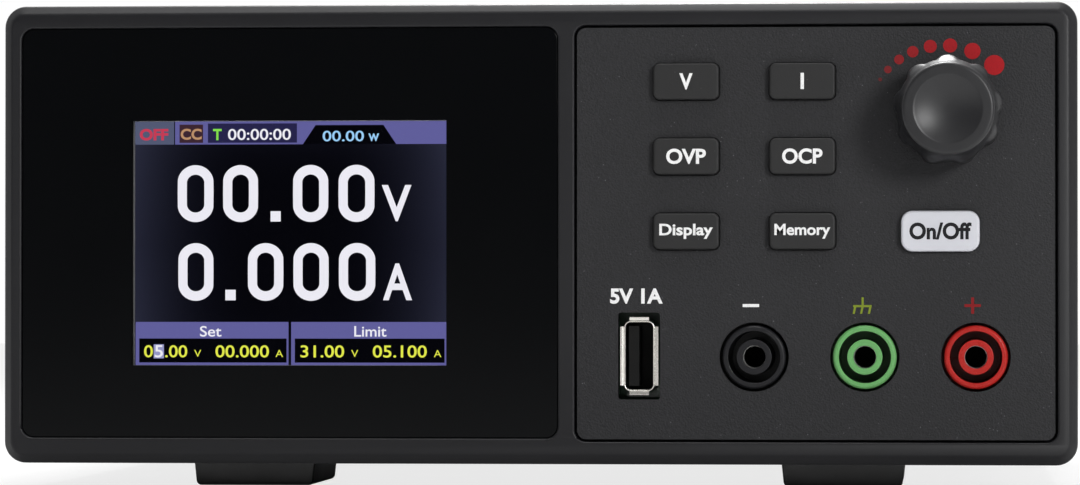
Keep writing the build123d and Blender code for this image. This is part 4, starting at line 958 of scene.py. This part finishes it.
def foldedStrip(spot, front, side, off, axis, length):
    # a strip that curls outwards from the wall in a quarter turn, closed at both ends
    wall, lip = outlet["wall"], outlet["lip"]
    inner = lip * outlet["curl"]
    outer = inner + wall
    curl = np.radians(np.linspace(0, 90, outlet["bendSteps"]))
    bowed = np.vstack([
        np.column_stack([wall + inner * (1 - np.cos(curl)), inner * (1 - np.sin(curl)) + wall]),
        [(wall + lip, wall), (wall + lip, 0.0)],
        np.column_stack([wall + inner - outer * np.cos(curl[::-1]), outer - outer * np.sin(curl[::-1])]),
    ])
    along = np.linspace(-length / 2, length / 2, outlet["stripSteps"])
    strip = np.zeros((len(bowed), len(along), 3))
    strip[..., axis] = (spot[axis] + side * (off + bowed[:, 0]))[:, None]
    strip[..., 2 - axis] = spot[2 - axis] + along
    strip[..., 1] = (front + bowed[:, 1])[:, None]
    points = strip.reshape(-1, 3)
    around = np.array(gridFaces(len(bowed) + 1, len(along))) % len(points)
    end = np.arange(len(bowed)) * len(along)
    return points, around.tolist() + [end.tolist(), (end + len(along) - 1).tolist()]


def outletMouth():
    low, high = corners("usb_shell")
    spot, front = (low + high) / 2, low[1] + outlet["set"]
    shapes = [rolledEdge(spot, front, high[1])]
    for side in (-1, 1):
        shapes.append(foldedStrip(spot, front, side, outlet["width"] / 2, 0, outlet["longStrip"]))
        shapes.append(foldedStrip(spot, front, side, outlet["height"] / 2, 2, outlet["shortStrip"]))
    points, faces = joined(shapes)
    sealed("outletMouth", points, faces, "usb_shell")


outletMouth()
print("outlet")


# Marks on the screen; each box is left, right, top and bottom in dots from the upper left corner
screenBars = (               # box, colour and layer
    ((318.2, 319, 22.6, 197), "glow", 1),
    ((0, 320, 0, 22.6), "bar", 1),
    ((0, 40, 0, 22.6), "slate", 2),
    ((40, 41, 0, 22.6), "black", 2),
    ((45.5, 69.7, 3, 21), "maroon", 2),
    ((74.7, 166, 2, 21), "navy", 2),
    ((139, 149.4, 88.5, 98.7), "white", 2),
    ((92.7, 103.3, 165.8, 176.2), "white", 2),
    ((0.6, 157.4, 197.5, 240), "bar", 1),
    ((160.2, 320, 197.5, 240), "bar", 1),
    ((4.3, 155.5, 213.8, 237.5), "black", 2),
    ((163.9, 316.8, 213.8, 237.5), "black", 2),
    ((19.2, 29.7, 219.6, 233.4), "cursor", 3),
)
screenNoughts = (            # the large digits of both readings
    (43.7, 80.5, 43, 99.1),
    (90.3, 126.2, 43, 99.1),
    (162, 198.1, 43, 99.1),
    (208.5, 245.3, 43, 99.1),
    (44.4, 80.5, 119.9, 176.7),
    (115.8, 152.2, 119.9, 176.7),
    (162.4, 198.5, 119.9, 176.7),
    (208.9, 246.2, 119.9, 176.7),
)
screenTab = ((172, 22.6), (267.4, 22.6), (254.4, 3.8), (185, 3.8))
screenWords = (              # words, box, colour, boldness and layer
    ("OFF", (4.6, 34, 7, 18.6), "red", 0.04, 3),
    ("CC", (46.7, 68.3, 7, 18), "tan", 0.03, 3),
    ("T", (80, 88.8, 7.3, 18.4), "green", 0.03, 3),
    ("00:00:00", (95.3, 159.8, 7.3, 18.4), "white", 0.01, 3),
    ("00.00", (192.3, 234.5, 9.4, 19.9), "blue", 0.01, 3),
    ("w", (239, 250, 12.2, 19.9), "blue", 0.01, 3),
    ("V", (252.7, 283, 62.9, 98.5), "white", 0.02, 3),
    ("A", (254, 283.6, 140, 176.1), "white", 0.02, 3),
    ("Set", (66.7, 88.8, 201.5, 212), "white", 0.01, 3),
    ("Limit", (224.7, 257.6, 201.5, 212), "white", 0.01, 3),
    ("0", (9.3, 18.4, 220.4, 232.5), "yellow", 0.01, 3),
    ("5", (20.2, 28.7, 220.4, 232.5), "white", 0.01, 4),
    (".00", (30.9, 53.7, 220.4, 232.5), "yellow", 0.01, 3),
    ("00.000", (82.6, 137.5, 220.4, 232.5), "yellow", 0.01, 3),
    ("31.00", (169.8, 214.4, 220.4, 232.5), "yellow", 0.01, 3),
    ("05.100", (243.6, 298.7, 220.4, 232.5), "yellow", 0.01, 3),
    ("V", (60.8, 68, 225, 232), "yellow", 0.0, 3),
    ("A", (144.2, 151.9, 225, 232), "yellow", 0.0, 3),
    ("V", (221.6, 228.7, 225, 232), "yellow", 0.0, 3),
    ("A", (305.9, 313.5, 225, 232), "yellow", 0.0, 3),
)


def downward(box):
    # a box counted from the top of the screen, counted from its bottom
    x0, x1, y0, y1 = box
    return x0, x1, picture["rows"] - y1, picture["rows"] - y0


def backlight():
    # the glow grows with the fourth power of the distance from the middle sideways, the sixth up and down
    columns, rows = picture["columns"], picture["rows"]
    across, up = picture["grid"]
    grid = np.meshgrid(np.linspace(0, columns, across), np.linspace(0, rows, up))
    x, z = (side.ravel() for side in grid)
    u, v = np.abs(2 * x / columns - 1), np.abs(2 * z / rows - 1)
    edge = u ** 4 * (1 - picture["corner"] + picture["corner"] * v) + picture["corner"] * v ** 6
    shade = np.array(picture["black"]) + np.clip(edge, 0, 1)[:, None] * np.array(picture["glow"])
    return (np.column_stack([x, z]), gridFaces(up, across)), shade


def screenPicture():
    low, high = litArea()
    origin = (low[0], corners("lcd_module")[0][1] + picture["glass"], low[2])
    sheet = Sheet(origin, picture["dot"], (high - low)[2] / picture["rows"], picture["lift"])
    sheet.mark(*backlight())
    for box, colour, layer in screenBars:
        sheet.mark(oblong(*downward(box)), picture[colour], layer)
    sheet.mark(([(x, picture["rows"] - y) for x, y in screenTab], [[0, 1, 2, 3]]), picture["black"], 2)
    for box in screenNoughts:
        sheet.mark(nought(*downward(box), picture["stroke"]), picture["white"], 2)
    for text, box, colour, bold, layer in screenWords:
        sheet.words(text, downward(box), picture[colour], bold, layer)
    sheet.put("screenPicture", lit(), "case", picture["thick"])


screenPicture()
print("screen")


# Marks on the keys and the panel
paleInk = printed("paleInk")
keyLegends = {               # words, width and height in mm, boldness
    "voltage_key": ("V", 2.45, 3.0, 0.03),
    "current_key": ("I", 0.62, 3.0, 0.0),
    "over_voltage_key": ("OVP", 7.35, 2.85, 0.03),
    "over_current_key": ("OCP", 7.45, 2.85, 0.03),
    "display_key": ("Display", 9.9, 2.8, 0.025),
    "memory_key": ("Memory", 10.3, 2.75, 0.025),
    "output_key": ("On/Off", 11.4, 3.15, 0.035),
}
outletLegend = {
    "words": ("5V 1A", 9.75, 2.85, 0.035),
    "aside": -0.5 * mm,      # from the outlet's axis
    "height": 36.2 * mm,
}
socketMarks = {
    "aside": -0.6 * mm,      # from the socket's axis
    "above": 9.5 * mm,
    "lift": 0.004 * mm,      # one stroke over the next
}
powerDots = {
    "centre": (75.32 * mm, 68.62 * mm),
    "ring": 13.8 * mm,
    "angles": (146.9, 137.3, 125.8, 113.8, 99.8, 84.6, 67.0, 47.1),
    "wide": (0.7, 1.4, 1.8, 2.1, 2.4, 2.6, 3.0, 3.7),
    "strength": (0.25, 0.45, 0.62, 0.75, 0.85, 0.9, 0.95, 1.0),
    "ground": (0.022, 0.018, 0.019),
}


def legend(name, look, centre, colour, body):
    words, width, height, bold = look
    sheet = Sheet(centre, mm, mm, 0)
    sheet.words(words, (-width / 2, width / 2, -height / 2, height / 2), colour, bold)
    sheet.put(name, paleInk, body)


def keyMarks():
    for node, look in keyLegends.items():
        low, high = corners(node)
        centre = ((low[0] + high[0]) / 2, low[1] - ink["lift"], (low[2] + high[2]) / 2)
        colour = ink["dark"] if node == "output_key" else ink["pale"]
        legend(node + "_legend", look, centre, colour, bodyOf[node])


def dotMarks(face):
    # dots round the knob that grow and brighten clockwise
    x, z = powerDots["centre"]
    sheet = Sheet((x, face, z), 1, 1, 0)
    ground, ring = np.array(powerDots["ground"]), powerDots["ring"]
    for angle, wide, strength in zip(powerDots["angles"], powerDots["wide"], powerDots["strength"]):
        turn = math.radians(angle)
        colour = ground + (np.array(ink["dotRed"]) - ground) * strength
        sheet.mark(disc(ring * math.cos(turn), ring * math.sin(turn), wide / 2 * mm), colour)
    sheet.put("powerDots", paleInk, "case")


def groundStrokes():
    # a bar with a stem up from its middle and three legs that slant down to the left
    shapes = [oblong(-1.55, 1.85, -0.3, 0.1), oblong(0.0, 0.4, 0.1, 1.52)]
    for x in (-1.15, 0.2, 1.65):
        leg = np.array([(x - 0.5, -1.52), (x - 0.1, -1.52), (x + 0.2, -0.1), (x - 0.2, -0.1)])
        shapes.append((leg, [[0, 1, 2, 3]]))
    return shapes


def socketMark(name, node, face, strokes, colour):
    spot = middle(node)
    origin = (spot[0] + socketMarks["aside"], face, spot[2] + socketMarks["above"])
    sheet = Sheet(origin, mm, mm, socketMarks["lift"])
    for layer, stroke in enumerate(strokes):
        sheet.mark(stroke, colour, layer)
    sheet.put(name, paleInk, "case")


def panelMarks():
    face = corners("control_panel")[0][1] - ink["lift"]
    dotMarks(face)
    spot = (middle("usb_shell")[0] + outletLegend["aside"], face, outletLegend["height"])
    legend("outletLegend", outletLegend["words"], spot, ink["white"], "case")
    minus = [oblong(-1.52, 1.52, -0.28, 0.28)]
    plus = [oblong(-1.5, 1.5, -0.26, 0.26), oblong(-0.26, 0.26, -1.5, 1.5)]
    socketMark("minusMark", "terminal_negative", face, minus, ink["white"])
    socketMark("plusMark", "terminal_positive", face, plus, ink["deepRed"])
    socketMark("groundMark", "terminal_ground", face, groundStrokes(), ink["olive"])


keyMarks()
panelMarks()
print("marks")


# Floor, light and camera; places are in metres
studio = {
    "floor": 6.0,
    "floorTone": (0.8, 0.8, 0.8),
    "floorDark": 0.97,       # darkest patches, as a share of the tone
    "floorPatch": 0.25,
    "floorWhite": 0.8,       # share of plain white that the camera sees in the floor
    "front": 0.10,           # world brightness low in front of the object
    "above": 0.6,            # and overhead
    "rise": (-0.1, 1.0),     # heights of the view's direction between which it brightens
    "behind": (-0.5, -0.1),  # and how far back it points where the white begins and is full
    "aim": (0, 0, 0.04),
    "key": 9.0,
    "keyAt": (0.66, -1.15, 0.36),
    "keyWide": 0.34,
    "top": 5.0,
    "topAt": (0.05, -0.35, 1.15),
    "topWide": 0.6,
    "rim": 11.0,
    "rimAt": (0.0, 0.42, 0.78),
    "rimWide": 0.32,
}


def floorPiece():
    half = studio["floor"] / 2
    flat, faces = oblong(-half, half, -half, half)
    mesh = bpy.data.meshes.new("floor")
    mesh.from_pydata(np.column_stack([flat, np.zeros(len(flat))]).tolist(), [], faces)
    piece = bpy.data.objects.new("floor", mesh)
    bpy.context.scene.collection.objects.link(piece)
    paint = Paint("floorPaper")
    patches = paint.noise(studio["floorPatch"], 2)
    tone = paint.mix(patches, toned(studio["floorTone"], studio["floorDark"]), studio["floorTone"])
    paint.set(Base_Color=tone, Roughness=0.9, Specular_IOR_Level=0.1)
    white = paint.node("ShaderNodeEmission", {}, (1, 1, 1, 1), 1.0)
    seen = paint.node("ShaderNodeLightPath", {}, out="Is Camera Ray") * studio["floorWhite"]
    blend = paint.node("ShaderNodeMixShader", {}, seen, Wire(paint, paint.shader.outputs[0]), white)
    paint.plug(paint.tree.nodes["Material Output"].inputs["Surface"], blend)
    mesh.materials.append(paint.material)


def areaLight(name, spot, size, power):
    lamp = bpy.data.lights.new(name, "AREA")
    lamp.shape = "DISK"
    lamp.size = size
    lamp.energy = power
    holder = bpy.data.objects.new(name, lamp)
    bpy.context.scene.collection.objects.link(holder)
    holder.location = spot
    toward = holder.location - type(holder.location)(studio["aim"])
    holder.rotation_euler = toward.to_track_quat("Z", "Y").to_euler()


def skyLight():
    # dim in front and bright overhead; camera, glossy and glass rays see white behind and beside the object
    world = bpy.data.worlds.new("studio")
    world.use_nodes = True
    bpy.context.scene.world = world
    sky = Tree(world.node_tree)
    direction = sky.node("ShaderNodeTexCoord", {}, out="Generated")
    camera, glossy, glass = (sky.node("ShaderNodeLightPath", {}, out=ray)
                             for ray in ("Is Camera Ray", "Is Glossy Ray", "Is Transmission Ray"))
    level = sky.axis(direction, 2).between(*studio["rise"]) * (studio["above"] - studio["front"])
    behind = sky.axis(direction, 1).between(*studio["behind"])
    clamped = {"operation": "ADD", "use_clamp": True}
    share = sky.node("ShaderNodeMath", clamped, (glossy + glass) * behind, camera)
    back = world.node_tree.nodes["Background"]
    back.inputs["Color"].default_value = (1, 1, 1, 1)
    sky.plug(back.inputs["Strength"], (level + studio["front"]) * (1 - share) + share)


view = {
    "eye": (0.0758, -0.9879, 0.0353),
    "turned": 4.78,          # degrees towards the display side
    "tilted": 0.69,          # degrees up
    "lens": 161.8,
    "sensor": 36.0,
    "far": 20,
}


def camera():
    lens = bpy.data.cameras.new("camera")
    lens.lens = view["lens"]
    lens.sensor_width = view["sensor"]
    lens.sensor_fit = "HORIZONTAL"
    lens.clip_end = view["far"]
    holder = bpy.data.objects.new("camera", lens)
    bpy.context.scene.collection.objects.link(holder)
    holder.location = view["eye"]
    holder.rotation_euler = (math.radians(90 + view["tilted"]), 0, math.radians(view["turned"]))
    bpy.context.scene.camera = holder


floorPiece()
areaLight("keyLight", studio["keyAt"], studio["keyWide"], studio["key"])
areaLight("topLight", studio["topAt"], studio["topWide"], studio["top"])
areaLight("rimLight", studio["rimAt"], studio["rimWide"], studio["rim"])
skyLight()
camera()
bpy.context.scene.view_settings.view_transform = "Standard"
print("stage set")
